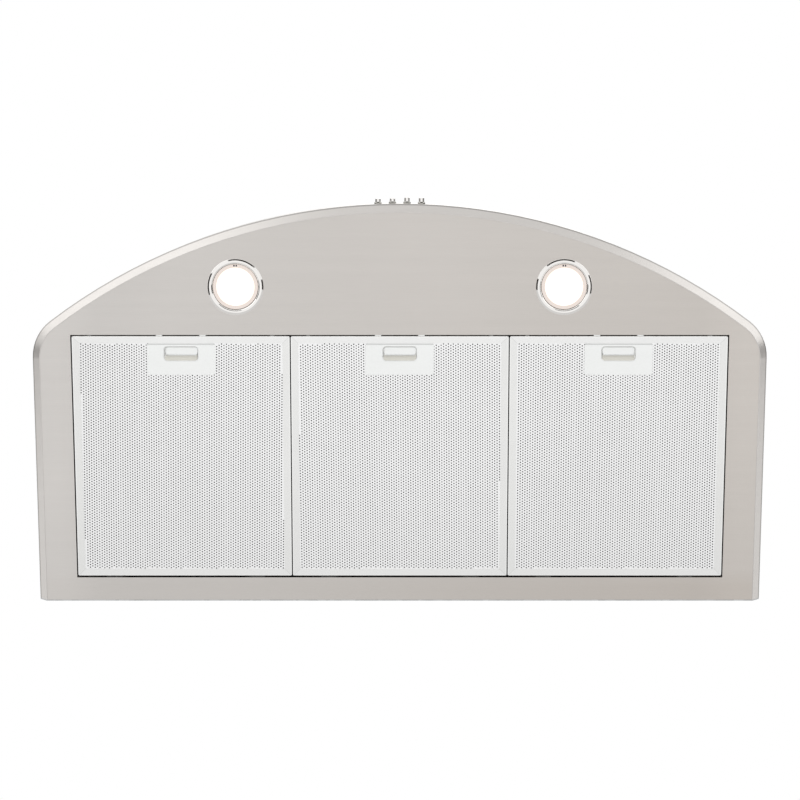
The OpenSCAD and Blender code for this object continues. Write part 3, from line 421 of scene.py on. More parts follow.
def lit_glass(name, warm, strength):
    """The lit face of a lamp, weaker and warmer towards its rim."""
    made, tree, where, axes, shader = new_material(name)
    ripple = put(tree, "ShaderNodeTexNoise", {"Vector": where, "Scale": 160.0, "Detail": 2.0})
    face = tone(tree, warm, ripple.outputs[0], 0.985, 1.0)
    middle_x, middle_y, _ = middle_of("lamp_bulb_right")
    off_x = maths(tree, "SUBTRACT", maths(tree, "ABSOLUTE", axes[0]), middle_x)
    off_y = maths(tree, "SUBTRACT", axes[1], middle_y)
    off = far_off(tree, put(tree, "ShaderNodeCombineXYZ", {0: off_x, 1: off_y}).outputs[0])
    rim_from, rim_to, rim_tint = 0.0195, 0.0232, (0.84, 0.72, 0.62)
    face = tinted(tree, face, span(tree, off, 0.0, 1.0, rim_from, rim_to), rim_tint)
    tree.links.new(face, shader["Base Color"])
    tree.links.new(face, shader["Emission Color"])
    shader["Emission Strength"].default_value = strength
    tree.links.new(span(tree, ripple.outputs[0], 0.25, 0.35), shader["Roughness"])
    return made


def finish(name):
    """The finish of that name, built when it is first asked for."""
    made = bpy.data.materials.get(name)
    if made:
        return made
    c = bpy.context.scene.hood_finishes
    lamp = bpy.context.scene.hood_lamp
    # the grain's stretch in sheets brushed across and upright, in rolled sheets and in pressed ones
    across, upright, rolled, pressed = (30, 1500, 1500), (1500, 1500, 30), (700, 700, 700), (300, 900, 300)
    # painted shade: dark lines along the panel's rear edge, the band's fold and the latches' front edge
    painted_rear_edge_shade, painted_crease_shade = (1, -0.0012, 0.0018, 0.8), (2, 0.0086, 0.0036, 0.6)
    painted_front_edge_shade = (1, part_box("latch_plate_middle")[0][1] + 0.0013, 0.0016, 0.7)
    makers = {
        "Steel_across": lambda: brushed(name, c.steel, across, 0.36, 0.035),
        "Steel_panel": lambda: brushed(name, c.steel, across, 0.36, 0.03, lines=[painted_rear_edge_shade],
                                       more=painted_panel_light),
        "Steel_band": lambda: brushed(name, c.steel, across, 0.34, 0.03, lines=[painted_crease_shade]),
        "Steel_upright": lambda: brushed(name, c.steel, upright, 0.34, 0.05),
        "Zinc_sheet": lambda: galvanised(name, c.zinc),
        "Zinc_plate": lambda: brushed(name, c.zinc, (400, 400, 400), 0.28, 0.06),
        "Filter_border": lambda: brushed(name, c.aluminium, rolled, 0.34, 0.02, more=mitres_and_painted_light),
        "Rolled_aluminium": lambda: brushed(name, c.aluminium, rolled, 0.34, 0.03),
        "Filter_sheet": lambda: brushed(name, c.perforated, (500, 500, 500), 0.4, 0.02),
        "Filter_pack_painted_shade": lambda: brushed(name, c.pack, (260, 900, 260), 0.5, 0.25, 0.0001),
        "Latch": lambda: brushed(name, c.latch, pressed, 0.38, 0.012, lines=[painted_front_edge_shade]),
        "Latch_wall_painted_shade": lambda: brushed(name, c.latch_wall_shade, pressed, 0.42, 0.03),
        "Latch_ramp_painted_shade": lambda: brushed(name, c.latch_ramp_shade, pressed, 0.42, 0.03),
        "Chrome": lambda: polished(name, c.chrome),
        "Collar": lambda: polished(name, c.collar, 0.14),
        "Lamp_ring": lambda: polished(name, c.ring, 0.22),
        "Lit_glass": lambda: lit_glass(name, lamp.warm, lamp.strength),
        "Black_plastic": lambda: moulded(name, c.black),
        "White_plastic": lambda: moulded(name, c.white, 0.3, 500.0, 0.00002),
        "Motor_paint_and_gap_shade": lambda: moulded(name, c.paint, 0.35, 1200.0, 0.00004, 0.3),
    }
    return makers[name]()


# Making meshes

def in_scene(name, data):
    """A new object in the scene."""
    made = bpy.data.objects.new(name, data)
    bpy.context.scene.collection.objects.link(made)
    return made


def paint(thing, name):
    """Gives every face of a piece or CAD node one finish."""
    if thing.data.materials:
        thing.data.materials.clear()
    thing.data.materials.append(finish(name))


def paint_nodes(name, *nodes):
    """Gives several CAD nodes the same finish."""
    for node in nodes:
        paint(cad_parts[node], name)


def piece_from(name, shape, material, body, slot, *replaced):
    """Makes a piece of a bmesh or a mesh and hangs it on its body."""
    if isinstance(shape, bmesh.types.BMesh):
        mesh = bpy.data.meshes.new(name)
        bmesh.ops.remove_doubles(shape, verts=shape.verts, dist=1e-6)
        bmesh.ops.recalc_face_normals(shape, faces=shape.faces)
        shape.to_mesh(mesh)
        shape.free()
    else:
        mesh = shape
    made = in_scene(name, mesh)
    if material:
        paint(made, material)
    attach(made, body)
    if replaced:
        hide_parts(*replaced)
    return made


def lathe(shape, outline, place, steps=96, closed=True):
    """Turns an outline of (radius, height) pairs round the axis that place puts at z."""
    rings = []
    for radius, height in outline:
        if radius < 1e-6:
            rings.append([shape.verts.new(place @ Vector((0, 0, height)))])
        else:
            rings.append([
                shape.verts.new(place @ Vector((
                    radius * math.cos(math.tau * k / steps), radius * math.sin(math.tau * k / steps), height
                ))) for k in range(steps)
            ])
    pairs = list(zip(rings, rings[1:]))
    if closed:
        pairs.append((rings[-1], rings[0]))
    for lower, upper in pairs:
        for k in range(steps):
            corners = [lower[k % len(lower)], lower[(k + 1) % len(lower)],
                       upper[(k + 1) % len(upper)], upper[k % len(upper)]]
            kept = list(dict.fromkeys(corners))
            if len(kept) > 2:
                shape.faces.new(kept)


def smooth(thing, angle=40.0):
    """Shades smooth everywhere except across edges sharper than the angle."""
    thing.data.set_sharp_from_angle(angle=math.radians(angle))
    for face in thing.data.polygons:
        face.use_smooth = True


# Perforated sheets

def perforated_tree():
    """Rows of six-sided holes in a sheet that leaves out a bay for the latch."""
    group, given, put_out = new_group("Perforated sheet", "GeometryNodeTree", [
        ("Hole", "Float", 0.002), ("Column pitch", "Float", 0.003),
        ("Row pitch", "Float", 0.0034), ("Thickness", "Float", 0.0006),
        ("Columns", "Int", 84), ("Rows", "Int", 84),
        ("Bay half width", "Float", 0.038), ("Bay rear", "Float", 0.0),
        ("Length", "Float", 0.29), ("Width", "Float", 0.26),
        ("Bare edge", "Float", 0.007), ("Lean", "Float", 0.0),
        ("Column lean", "Float", 0.0),
        ("Middle", "Vector", None), ("Material", "Material", None),
    ], [("Geometry", "Geometry")])
    # one cell of the pattern: a flat ring round the hole and the hole's wall
    cell = put(group, "GeometryNodeMeshCircle", {"Vertices": 6, "Radius": 1.0}, fill_type="NGON")
    stretch = put(group, "ShaderNodeCombineXYZ", {
        0: maths(group, "DIVIDE", given["Column pitch"], 1.5),
        1: maths(group, "DIVIDE", given["Row pitch"], math.sqrt(3)), 2: -1.0,
    })
    shaped = put(group, "GeometryNodeTransform", {"Geometry": cell.outputs[0], "Scale": stretch.outputs[0]})
    inset = put(group, "GeometryNodeExtrudeMesh", {
        "Mesh": shaped.outputs[0], "Offset Scale": 0.0}, mode="FACES")
    at = put(group, "GeometryNodeInputPosition").outputs[0]
    outward = vector_maths(group, "NORMALIZE", at)
    on_hole = put(group, "ShaderNodeVectorMath", {
        0: outward, "Scale": maths(group, "MULTIPLY", given["Hole"], 0.5),
    }, operation="SCALE").outputs[0]
    ring = put(group, "GeometryNodeSetPosition", {
        "Geometry": inset.outputs["Mesh"], "Selection": inset.outputs["Top"], "Position": on_hole})
    rise = put(group, "ShaderNodeCombineXYZ", {2: given["Thickness"]}).outputs[0]
    wall = put(group, "GeometryNodeExtrudeMesh", {
        "Mesh": ring.outputs[0], "Selection": inset.outputs["Top"], "Offset": rise, "Offset Scale": 1.0,
    }, mode="FACES")
    open_cell = put(group, "GeometryNodeDeleteGeometry", {
        "Geometry": wall.outputs["Mesh"], "Selection": wall.outputs["Top"]}, domain="FACE", mode="ONLY_FACE")
    # the places of the cells, every other column half a row further on
    wide, long = (maths(group, "MULTIPLY", given[pitch], maths(group, "SUBTRACT", given[count], 1.0))
                  for pitch, count in (("Column pitch", "Columns"), ("Row pitch", "Rows")))
    lattice = put(group, "GeometryNodeMeshGrid", {
        "Size X": wide, "Size Y": long, "Vertices X": given["Columns"], "Vertices Y": given["Rows"],
    })
    across = put(group, "ShaderNodeSeparateXYZ", {0: at}).outputs[0]
    from_left = maths(group, "ADD", across, 1.0)
    column = maths(group, "FLOOR", maths(group, "DIVIDE", from_left, given["Column pitch"]))
    odd = maths(group, "MODULO", column, 2.0)
    shift = put(group, "ShaderNodeCombineXYZ", {
        1: maths(group, "MULTIPLY", odd, maths(group, "MULTIPLY", given["Row pitch"], 0.5))})
    staggered = put(group, "GeometryNodeSetPosition", {
        "Geometry": lattice.outputs["Mesh"],
        "Offset": vector_maths(group, "ADD", shift.outputs[0], given["Middle"])})
    # the rows and columns lean a little: no cells past the sheet's ends or over the latch's bay, and plain
    # cells along its edges, under the border
    local = put(group, "ShaderNodeSeparateXYZ", {0: vector_maths(group, "SUBTRACT", at, given["Middle"])})
    leaning = maths(group, "MULTIPLY", local.outputs[0], given["Lean"])
    sideways = maths(group, "MULTIPLY", local.outputs[1], given["Column lean"])
    along = maths(group, "ADD", local.outputs[1], leaning)
    aside = maths(group, "ABSOLUTE", maths(group, "ADD", local.outputs[0], sideways))
    off_side = maths(group, "SUBTRACT", maths(group, "MULTIPLY", given["Width"], 0.5), aside)
    off_end = maths(group, "SUBTRACT", maths(group, "MULTIPLY", given["Length"], 0.5),
                    maths(group, "ABSOLUTE", along))
    to_edge = maths(group, "MINIMUM", off_side, off_end)
    in_bay = maths(group, "MULTIPLY", maths(group, "LESS_THAN", aside, given["Bay half width"]),
                   maths(group, "LESS_THAN", along, given["Bay rear"]))
    kept = put(group, "GeometryNodeDeleteGeometry", {
        "Geometry": staggered.outputs[0],
        "Selection": maths(group, "MAXIMUM", maths(group, "LESS_THAN", to_edge, 0.0), in_bay),
    }, domain="POINT")
    cells = [put(group, "GeometryNodeInstanceOnPoints", {
        "Points": kept.outputs[0], "Instance": shape.outputs[0],
        "Selection": maths(group, how, to_edge, given["Bare edge"])}) for shape, how in (
            (open_cell, "GREATER_THAN"), (shaped, "LESS_THAN"))]
    both = put(group, "GeometryNodeJoinGeometry")
    for made in cells:
        group.links.new(made.outputs[0], both.inputs[0])
    real = put(group, "GeometryNodeRealizeInstances", {0: both.outputs[0]})
    joined = put(group, "GeometryNodeMergeByDistance", {"Geometry": real.outputs[0], "Distance": 0.00002})
    leant = put(group, "GeometryNodeSetPosition", {
        "Geometry": joined.outputs[0],
        "Offset": put(group, "ShaderNodeCombineXYZ", {0: sideways, 1: leaning}).outputs[0]})
    done = put(group, "GeometryNodeSetMaterial", {
        "Geometry": leant.outputs[0], "Material": given["Material"]})
    group.links.new(done.outputs[0], put_out["Geometry"])
    return group


def grown(name, tree, values):
    """Runs a geometry tree on an empty mesh and gives back its result as a plain mesh."""
    holder = in_scene(name + "_maker", bpy.data.meshes.new(name + "_maker"))
    modifier = holder.modifiers.new("maker", "NODES")
    modifier.node_group = tree
    for socket in tree.interface.items_tree:
        if socket.in_out == "INPUT" and socket.name in values:
            modifier[socket.identifier] = values[socket.name]
    holder.update_tag()
    ready = holder.evaluated_get(bpy.context.evaluated_depsgraph_get())
    mesh = bpy.data.meshes.new_from_object(ready)
    holder.modifiers.clear()
    bpy.data.objects.remove(holder, do_unlink=True)
    if not mesh.polygons:
        raise RuntimeError(f"{name}: the geometry tree made no faces")
    mesh.name = name
    return mesh


class HOOD_OT_canopy(bpy.types.Operator):
    """Brushes the canopy, its bevelled band, the panel and the back plate"""
    bl_idname = "hood.canopy"
    bl_label = "Canopy"

    def execute(self, context):
        paint_nodes("Steel_across", "canopy_top")
        paint_nodes("Steel_panel", "bottom_panel")
        paint_nodes("Steel_band", "canopy_band")
        paint_nodes("Zinc_sheet", "back_plate")
        return {"FINISHED"}


class HOOD_OT_perforated_sheets(bpy.types.Operator):
    """Makes the three perforated sheets from a geometry tree"""
    bl_idname = "hood.perforated_sheets"
    bl_label = "Perforated sheets"

    def execute(self, context):
        sizes = context.scene.hood_filter
        tree = perforated_tree()
        for number, side in enumerate(SIDES):
            low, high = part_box(f"filter_mesh_{side}")
            latch_low, latch_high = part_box(f"latch_plate_{side}")
            width, depth = high[0] - low[0], high[1] - low[1]
            lean, column_lean, row = (
                values[number] for values in (sizes.lean, sizes.column_lean, sizes.row))
            columns = int((width + abs(column_lean) * depth) / sizes.column) + 1
            rows = int((depth + lean * width) / row) + 2
            middle = (*middle_of(f"filter_mesh_{side}")[:2], low[2])
            margin, under_latch = 2 * MM, 1.8 * MM
            mesh = grown(f"perforated_sheet_{side}", tree, {
                "Hole": sizes.hole, "Column pitch": sizes.column, "Row pitch": row,
                "Thickness": sizes.sheet, "Columns": columns, "Rows": rows,
                "Bay half width": (latch_high[0] - latch_low[0]) / 2 - under_latch,
                "Bay rear": latch_high[1] - middle[1] - row / 2,
                "Length": depth - 2 * margin, "Width": width - 2 * margin,
                "Bare edge": sizes.tuck - margin + sizes.hole * 0.52,
                "Lean": lean, "Column lean": column_lean,
                "Middle": middle, "Material": finish("Filter_sheet"),
            })
            piece_from(f"perforated_sheet_{side}", mesh, None, f"filter_{side}", "perforated_aluminium",
                       f"filter_mesh_{side}")
        return {"FINISHED"}


class HOOD_OT_filters(bpy.types.Operator):
    """Finishes the filters' borders and pleated layers"""
    bl_idname = "hood.filters"
    bl_label = "Filter borders"

    def execute(self, context):
        for side in SIDES:
            paint_nodes("Filter_border", f"filter_frame_{side}")
            # the pleated layer takes a dark colour: painted shadow seen through the holes
            paint_nodes("Filter_pack_painted_shade", f"filter_core_{side}")
        return {"FINISHED"}


def round_loop(shape, left, right, front, rear, height, radius, steps=8):
    """A rectangle with round corners at that height, as a loop of new vertices."""
    loop = []
    for x, y, start in ((right - radius, rear - radius, 0), (left + radius, rear - radius, 90),
                        (left + radius, front + radius, 180), (right - radius, front + radius, 270)):
        for k in range(steps + 1):
            a = math.radians(start + 90 * k / steps)
            loop.append(shape.verts.new((x + radius * math.cos(a), y + radius * math.sin(a), height)))
    return loop


def bridge(shape, first, second):
    """The band of faces between two loops with as many vertices."""
    count = len(first)
    return [shape.faces.new((first[k], first[(k + 1) % count], second[(k + 1) % count], second[k]))
            for k in range(count)]


def loop_about(shape, box, by, height, radius):
    """A loop with round corners outside a box, by millimetres: one, or left, right, front and rear."""
    left, right, front, rear = by if isinstance(by, tuple) else (by,) * 4
    return round_loop(shape, box[0] - left * MM, box[1] + right * MM, box[2] - front * MM, box[3] + rear * MM,
                      height * MM, radius * MM)


def rounded_bar(shape, corner, size, bevel, segments=2):
    """A bar from its lowest corner, with its edges rounded."""
    made = bmesh.ops.create_cube(shape, size=1.0, matrix=Matrix.Translation(
        [corner[i] + size[i] / 2 for i in range(3)]) @ Matrix.Diagonal((*size, 1.0)))
    edges = {edge for vert in made["verts"] for edge in vert.link_edges}
    bmesh.ops.bevel(shape, geom=list(edges), offset=bevel, segments=segments, affect="EDGES", profile=0.5)


def latch_middle(side):
    """Where a latch stands across the hood."""
    return middle_of(f"latch_plate_{side}")[0]


def pocket_box(side):
    """The opening of a latch's finger pocket, in metres: left, right, front, rear."""
    half, front, rear = 20.8 * MM, 3.9 * MM, 21.2 * MM
    x, start = latch_middle(side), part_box(f"latch_plate_{side}")[0][1]
    return x - half, x + half, start + front, start + rear


def latch_cover(side):
    """The plate: a rounded opening with a thin raised lip, soft outer edges, and the spring's stop behind."""
    low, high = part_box(f"latch_plate_{side}")
    x, rear = latch_middle(side), high[1]
    pocket, outer = pocket_box(side), (low[0], high[0], low[1], rear)
    shape = bmesh.new()
    # (box, millimetres outside it, height, corner), from the opening's upper edge over the lip to the rim
    loops = [loop_about(shape, *row) for row in (
        (pocket, 0, 1.0, 4), (pocket, 0, 0.5, 4), (pocket, 0.08, 0.25, 4.08), (pocket, 0.3, 0.08, 4.3),
        (pocket, 0.7, 0.06, 4.7), (pocket, 1.1, 0.2, 5.1), (pocket, 1.5, 0.2, 5.5), (outer, -0.8, 0.2, 2.2),
        (outer, -0.1, 0.2, 2.9), (outer, 0, 0.3, 3), (outer, 0, 1.0, 3),
    )]
    for first, second in zip(loops, loops[1:] + loops[:1]):
        bridge(shape, first, second)
    half, inset, foot, tall, bevel = 34 * MM, 2.5 * MM, 0.9 * MM, 5.1 * MM, 0.2 * MM
    rounded_bar(shape, (x - half, rear - inset, foot), (2 * half, MM, tall), bevel)
    return shape


def latch_grip(side):
    """The grip: a pocket with steep walls and a slope at the rear, its cup, and the two prongs."""
    x, tip = latch_middle(side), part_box(f"latch_slider_{side}")[0][1]
    pocket = pocket_box(side)
    front, rear = pocket[2:]
    under, tray_top, cup_top, slope, floor = 1.3, 2.3, 6.8, 4.3, 5.0
    deep_by, base_by, tray_by = (-1.5, -0.9, -1.4, -5.8), (-1.9, -1.3, -1.8, -6.9), (12.75, 12.75, 2, 4)
    ramp_front = rear - 4.6 * MM
    shape = bmesh.new()
    brim = loop_about(shape, pocket, 0, under, 4)
    deep = loop_about(shape, pocket, deep_by, slope, 3.0)
    base = loop_about(shape, pocket, base_by, floor, 2.6)
    # the walls take a darker copy of the latch's finish and the rear slope a darker, warmer one: painted
    # shade and painted reflection
    for face in bridge(shape, brim, deep):
        face.material_index = 2 if face.calc_center_median().y > ramp_front else 1
    bridge(shape, deep, base)
    shape.faces.new(base)
    around = [brim, loop_about(shape, pocket, tray_by, under, 1.5),
              loop_about(shape, pocket, tray_by, tray_top, 1.5),
              loop_about(shape, pocket, 1, tray_top, 5), loop_about(shape, pocket, 1, cup_top, 5)]
    for first, second in zip(around, around[1:]):
        bridge(shape, first, second)
    shape.faces.new(around[-1])
    prong, prong_half, bevel = 26.5, 4, 0.25 * MM
    for along in (-prong, prong):
        rounded_bar(shape, (x + (along - prong_half) * MM, tip, under * MM),
                    (2 * prong_half * MM, front - MM - tip, MM), bevel)
    return shape


def latch_leaf(side, low, high, steps=24):
    """The spring: a leaf on edge, bowed between the grip and the plate's stop."""
    x, leaf, half = latch_middle(side), 0.5 * MM, 23.5 * MM
    edge = []
    for k in range(steps + 1):
        t = 2 * k / steps - 1
        edge.append((x + half * t, low[1] + (high[1] - low[1] - leaf) * t * t))
    edge += [(px, py + leaf) for px, py in reversed(edge)]
    shape = bmesh.new()
    under, over = ([shape.verts.new((*place, z)) for place in edge] for z in (low[2], high[2]))
    bridge(shape, under, over)
    for loop in (under, over):
        for k in range(steps):
            shape.faces.new((loop[k], loop[k + 1], loop[2 * steps - k], loop[2 * steps + 1 - k]))
    return shape


class HOOD_OT_latches(bpy.types.Operator):
    """Makes the latches' plates, their grips with a finger pocket, and the springs behind"""
    bl_idname = "hood.latches"
    bl_label = "Latches"

    def execute(self, context):
        for side in SIDES:
            smooth(piece_from(f"latch_cover_{side}", latch_cover(side), "Latch", f"filter_{side}",
                              "latch_aluminium", f"latch_plate_{side}"), 35.0)
            grip = piece_from(f"latch_grip_{side}", latch_grip(side), "Latch", f"latch_{side}",
                              "latch_aluminium", f"latch_slider_{side}")
            # the darker copies of the latch's finish: painted shade
            for name in ("Latch_wall_painted_shade", "Latch_ramp_painted_shade"):
                grip.data.materials.append(finish(name))
            smooth(grip, 30.0)
            # in the real latch the leaf is pressed flat as the grip is pulled; this leaf stays bowed
            x, (low, high) = latch_middle(side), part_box(f"latch_spring_{side}")
            spring = piece_from(f"latch_leaf_{side}", latch_leaf(side, low, high), "Zinc_plate",
                                f"filter_{side}", "zinc_steel", f"latch_spring_{side}")
            smooth(spring)
            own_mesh(spring)
        return {"FINISHED"}


# Outlines of a lamp as (radius, height) in millimetres. The plated rim, from the panel round to the inside:
LAMP_RIM = (
    (34.0, 0.0), (34.0, -0.3), (33.8, -0.48), (33.7, -0.55), (32.24, -1.535), (32.1, -1.62), (31.6, -1.78),
    (31.0, -1.8), (29.9, -1.8), (29.5, -1.74), (29.35, -1.65), (28.3, -0.94), (28.2, -0.8), (28.2, 2.0),
    (29.6, 2.0), (29.6, 7.0), (30.0, 7.0), (30.0, 0.0),
)
# the sprung ring that holds the bulb, from its seat in the rim to the glass and back
LAMP_RING = (
    (27.9, 1.85), (27.6, 1.75), (27.55, -0.3), (27.4, -0.5), (27.1, -0.56), (26.8, -0.5), (26.4, -0.42),
    (25.4, -0.38), (24.0, -0.36), (23.4, -0.33), (23.1, -0.28), (23.1, -0.22), (24.5, -0.22), (24.65, 0.8),
    (27.1, 0.9), (27.1, 1.95), (27.9, 1.95),
)


def turned(outline, place):
    """A new shape, turned from an outline in millimetres."""
    shape = bmesh.new()
    lathe(shape, [(radius / 1000, height / 1000) for radius, height in outline], place)
    return shape


class HOOD_OT_lamps(bpy.types.Operator):
    """Makes the lamps' plated rims and sprung rings and lights their faces"""
    bl_idname = "hood.lamps"
    bl_label = "Lamps"

    def execute(self, context):
        ring_shift, gap_wall, gap_height = 0.3 * MM, 27.4 * MM, -0.2 * MM
        wire_lefts, wire_front, wire_low = (-0.0023, 0.0005), 0.0268, -0.0009
        wire_size, bevel = (0.0018, 0.0021, 0.0008), 0.0003
        for side in ("left", "right"):
            place = Matrix.Translation((*middle_of(f"lamp_bezel_{side}")[:2], 0.0))
            smooth(piece_from(f"lamp_rim_{side}", turned(LAMP_RIM, place), "Chrome", "canopy", "chrome",
                              f"lamp_bezel_{side}"), 30.0)
            # the ring sits a little towards the front, so a dark gap shows beside it at the rear
            shape = turned(LAMP_RING, Matrix.Translation((0.0, -ring_shift, 0.0)) @ place)
            # the ring's faces inside that gap take the dark motor paint: painted shade in the gap
            for face in shape.faces:
                across = face.calc_center_median() - place.translation
                if across.xy.length > gap_wall and across.z > gap_height:
                    face.material_index = 1
            ring = piece_from(f"lamp_ring_{side}", shape, "Lamp_ring", "canopy", "chrome",
                              f"lamp_clips_{side}")
            ring.data.materials.append(finish("Motor_paint_and_gap_shade"))
            smooth(ring, 50.0)
            # the ring's two wire ends, at the front
            shape = bmesh.new()
            x, y, _ = place.translation
            for left in wire_lefts:
                rounded_bar(shape, (x + left, y - wire_front, wire_low), wire_size, bevel)
            smooth(piece_from(f"lamp_wire_ends_{side}", shape, "Motor_paint_and_gap_shade", "canopy", "chrome"))
            paint_nodes("Lit_glass", f"lamp_bulb_{side}")
            paint_nodes("Zinc_sheet", f"lamp_can_{side}")
        return {"FINISHED"}


class HOOD_OT_buttons(bpy.types.Operator):
    """Turns the plated push buttons and their collars"""
    bl_idname = "hood.buttons"
    bl_label = "Buttons"

    def execute(self, context):
        backward = Matrix.Rotation(math.radians(90), 4, "X")
        stands_out = (0.0064, 0.0064, 0.0074, 0.0074)
        head, stem, gap, wall = 0.0152, 0.0018, 0.0001, 0.0011
        collars = bmesh.new()
        back = -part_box("button_collars")[1][1]
        for number, out in enumerate(stands_out, start=1):
            low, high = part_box(f"button_{number}")
            x, _, z = middle_of(f"button_{number}")
            place = Matrix.Translation((x, 0.0, z)) @ backward
            r, tip, end = (high[0] - low[0]) / 2, -low[1], -high[1]
            face = tip - out
            # (radius, distance in front of the wall), from the tip to the stem's end
            shape = bmesh.new()
            lathe(shape, [
                (0.0, tip - 0.0001), (r - 0.0012, tip), (r - 0.0006, tip - 0.0002),
                (r - 0.0002, tip - 0.0006), (r - 0.0002, face + 0.0019), (r, face + 0.0017),
                (r, end + head + 0.0002), (r - 0.0002, end + head), (stem, end + head),
                (stem, end + 0.0004), (stem - 0.0004, end), (0.0, end),
            ], place, 48, closed=False)
            smooth(piece_from(f"push_button_{number}", shape, "Chrome", f"push_button_{number}", "chrome",
                              f"button_{number}"))
            inner, outer = r + gap, r + wall
            lathe(collars, [
                (inner, face + 0.0022), (inner + 0.0002, face + 0.0024), (outer - 0.0007, face + 0.0024),
                (outer, face + 0.0012), (outer, back), (inner, back),
            ], place, 48)
        smooth(piece_from("push_button_collars", collars, "Collar", "canopy", "chrome",
                          "button_collars"), 25.0)
        paint_nodes("Zinc_plate", "switch_bracket")
        paint_nodes("Black_plastic", "switch_block")
        return {"FINISHED"}


class HOOD_OT_electrics(bpy.types.Operator):
    """Finishes the control box, its gland and the lamps' transformer"""
    bl_idname = "hood.electrics"
    bl_label = "Electrics"

    def execute(self, context):
        paint_nodes("Black_plastic", "control_box", "control_box_lid", "cable_gland", "lamp_transformer")
        return {"FINISHED"}


class HOOD_OT_blower(bpy.types.Operator):
    """Finishes the blower, its wheel and its motor"""
    bl_idname = "hood.blower"
    bl_label = "Blower"

    def execute(self, context):
        paint_nodes("Zinc_sheet", "blower_box", "scroll_housing", "inlet_ring_left", "inlet_ring_right")
        paint_nodes("Rolled_aluminium", "fan_wheel")
        paint_nodes("Zinc_plate", "fan_shaft", "motor_bracket", "blower_screws")
        paint_nodes("Motor_paint_and_gap_shade", "motor")
        paint_nodes("White_plastic", "capacitor")
        return {"FINISHED"}


class HOOD_OT_duct(bpy.types.Operator):
    """Finishes the duct collar and its two flaps"""
    bl_idname = "hood.duct"
    bl_label = "Duct collar"

    def execute(self, context):
        paint_nodes("Black_plastic", "duct_collar", "damper_flap_front", "damper_flap_rear")
        paint_nodes("Zinc_plate", "damper_pins")
        return {"FINISHED"}


class HOOD_OT_chimney(bpy.types.Operator):
    """Brushes the two chimney covers and finishes what holds them"""
    bl_idname = "hood.chimney"
    bl_label = "Chimney"

    def execute(self, context):
        paint_nodes("Steel_upright", "lower_chimney", "upper_chimney")
        paint_nodes("Zinc_sheet", "chimney_bracket")
        paint_nodes("Zinc_plate", "chimney_screws")
        return {"FINISHED"}


# The stage

def soft_box(name, place, aim, width, height, power):
    """A wide soft lamp that the camera doesn't see."""
    light = bpy.data.lights.new(name, "AREA")
    light.shape = "RECTANGLE"
    light.size, light.size_y = width, height
    light.energy = power
    made = in_scene(name, light)
    made.location = place
    made.rotation_mode = "QUATERNION"
    made.rotation_quaternion = (Vector(aim) - Vector(place)).to_track_quat("-Z", "Y")
    made.visible_camera = False


def stage_sheet(name, corners, material):
    """A flat sheet of the stage, given by its four corners."""
    mesh = bpy.data.meshes.new(name)
    mesh.from_pydata(corners, [], [(0, 1, 2, 3)])
    made = in_scene(name, mesh)
    made.data.materials.append(material)
    return made


def round_about(turn, distance, height):
    """A place about the hood's middle, at that turn in degrees from the front towards the right."""
    a, middle_y = math.radians(turn), -0.25
    return (distance * math.sin(a), middle_y - distance * math.cos(a), height)


def glowing(name):
    """A new material for the stage that isn't taken for a lamp, so it mirrors in exactly its own colour."""
    made = bpy.data.materials.new(name)
    made.cycles.emission_sampling = "NONE"
    return made, bare_tree(made)


def shown_rays(tree):
    """Masks of the rays that come straight from the camera, and of those by way of metal or glass."""
    path = put(tree, "ShaderNodeLightPath").outputs
    mirrored = maths(tree, "MAXIMUM", path["Is Glossy Ray"], path["Is Transmission Ray"])
    return path["Is Camera Ray"], mirrored


def make_floor(below):
    """Pale, with the object's shadow; white where mirrored, a little weaker to the right and the wall."""
    made, tree = glowing("Floor")
    seen, mirrored = shown_rays(tree)
    where, axes = object_place(tree)
    rightward = span(tree, axes[0], 1.0, 0.98, 0.1, 1.0, smoothly=True)
    backward = span(tree, axes[1], 1.0, 0.71, 0.4, 0.9, smoothly=True)
    glow = maths(tree, "MULTIPLY", rightward, backward)
    white_share = span(tree, far_off(tree, where), 0.7, 1.0, 3.5, 12.0, smoothly=True)
    plain = put(tree, "ShaderNodeBsdfDiffuse", {"Color": (0.8, 0.8, 0.79, 1.0)})
    bright = put(tree, "ShaderNodeEmission", {
        "Color": (1.0, 1.0, 1.0, 1.0), "Strength": maths(tree, "MAXIMUM", seen, glow)})
    share = maths(tree, "ADD", maths(tree, "MULTIPLY", seen, white_share), mirrored, clamp=True)
    both = put(tree, "ShaderNodeMixShader", {0: share, 1: plain.outputs[0], 2: bright.outputs[0]})
    put(tree, "ShaderNodeOutputMaterial", {"Surface": both.outputs[0]})
    far = 40.0
    corners = ((-far, -far), (far, -far), (far, far), (-far, far))
    stage_sheet("floor", [(x, y, -below) for x, y in corners], made)


def make_world(scene, plain_light=0.75):
    """White where it is seen or mirrored, and a plain light elsewhere."""
    scene.world = bpy.data.worlds.new("World")
    tree = bare_tree(scene.world)
    seen, mirrored = shown_rays(tree)
    lit, white = (put(tree, "ShaderNodeBackground", {"Color": (1.0, 1.0, 1.0, 1.0), "Strength": strength})
                  for strength in (plain_light, 1.0))
    both = put(tree, "ShaderNodeMixShader", {
        0: maths(tree, "MAXIMUM", seen, mirrored), 1: lit.outputs[0], 2: white.outputs[0]})
    put(tree, "ShaderNodeOutputWorld", {"Surface": both.outputs[0]})


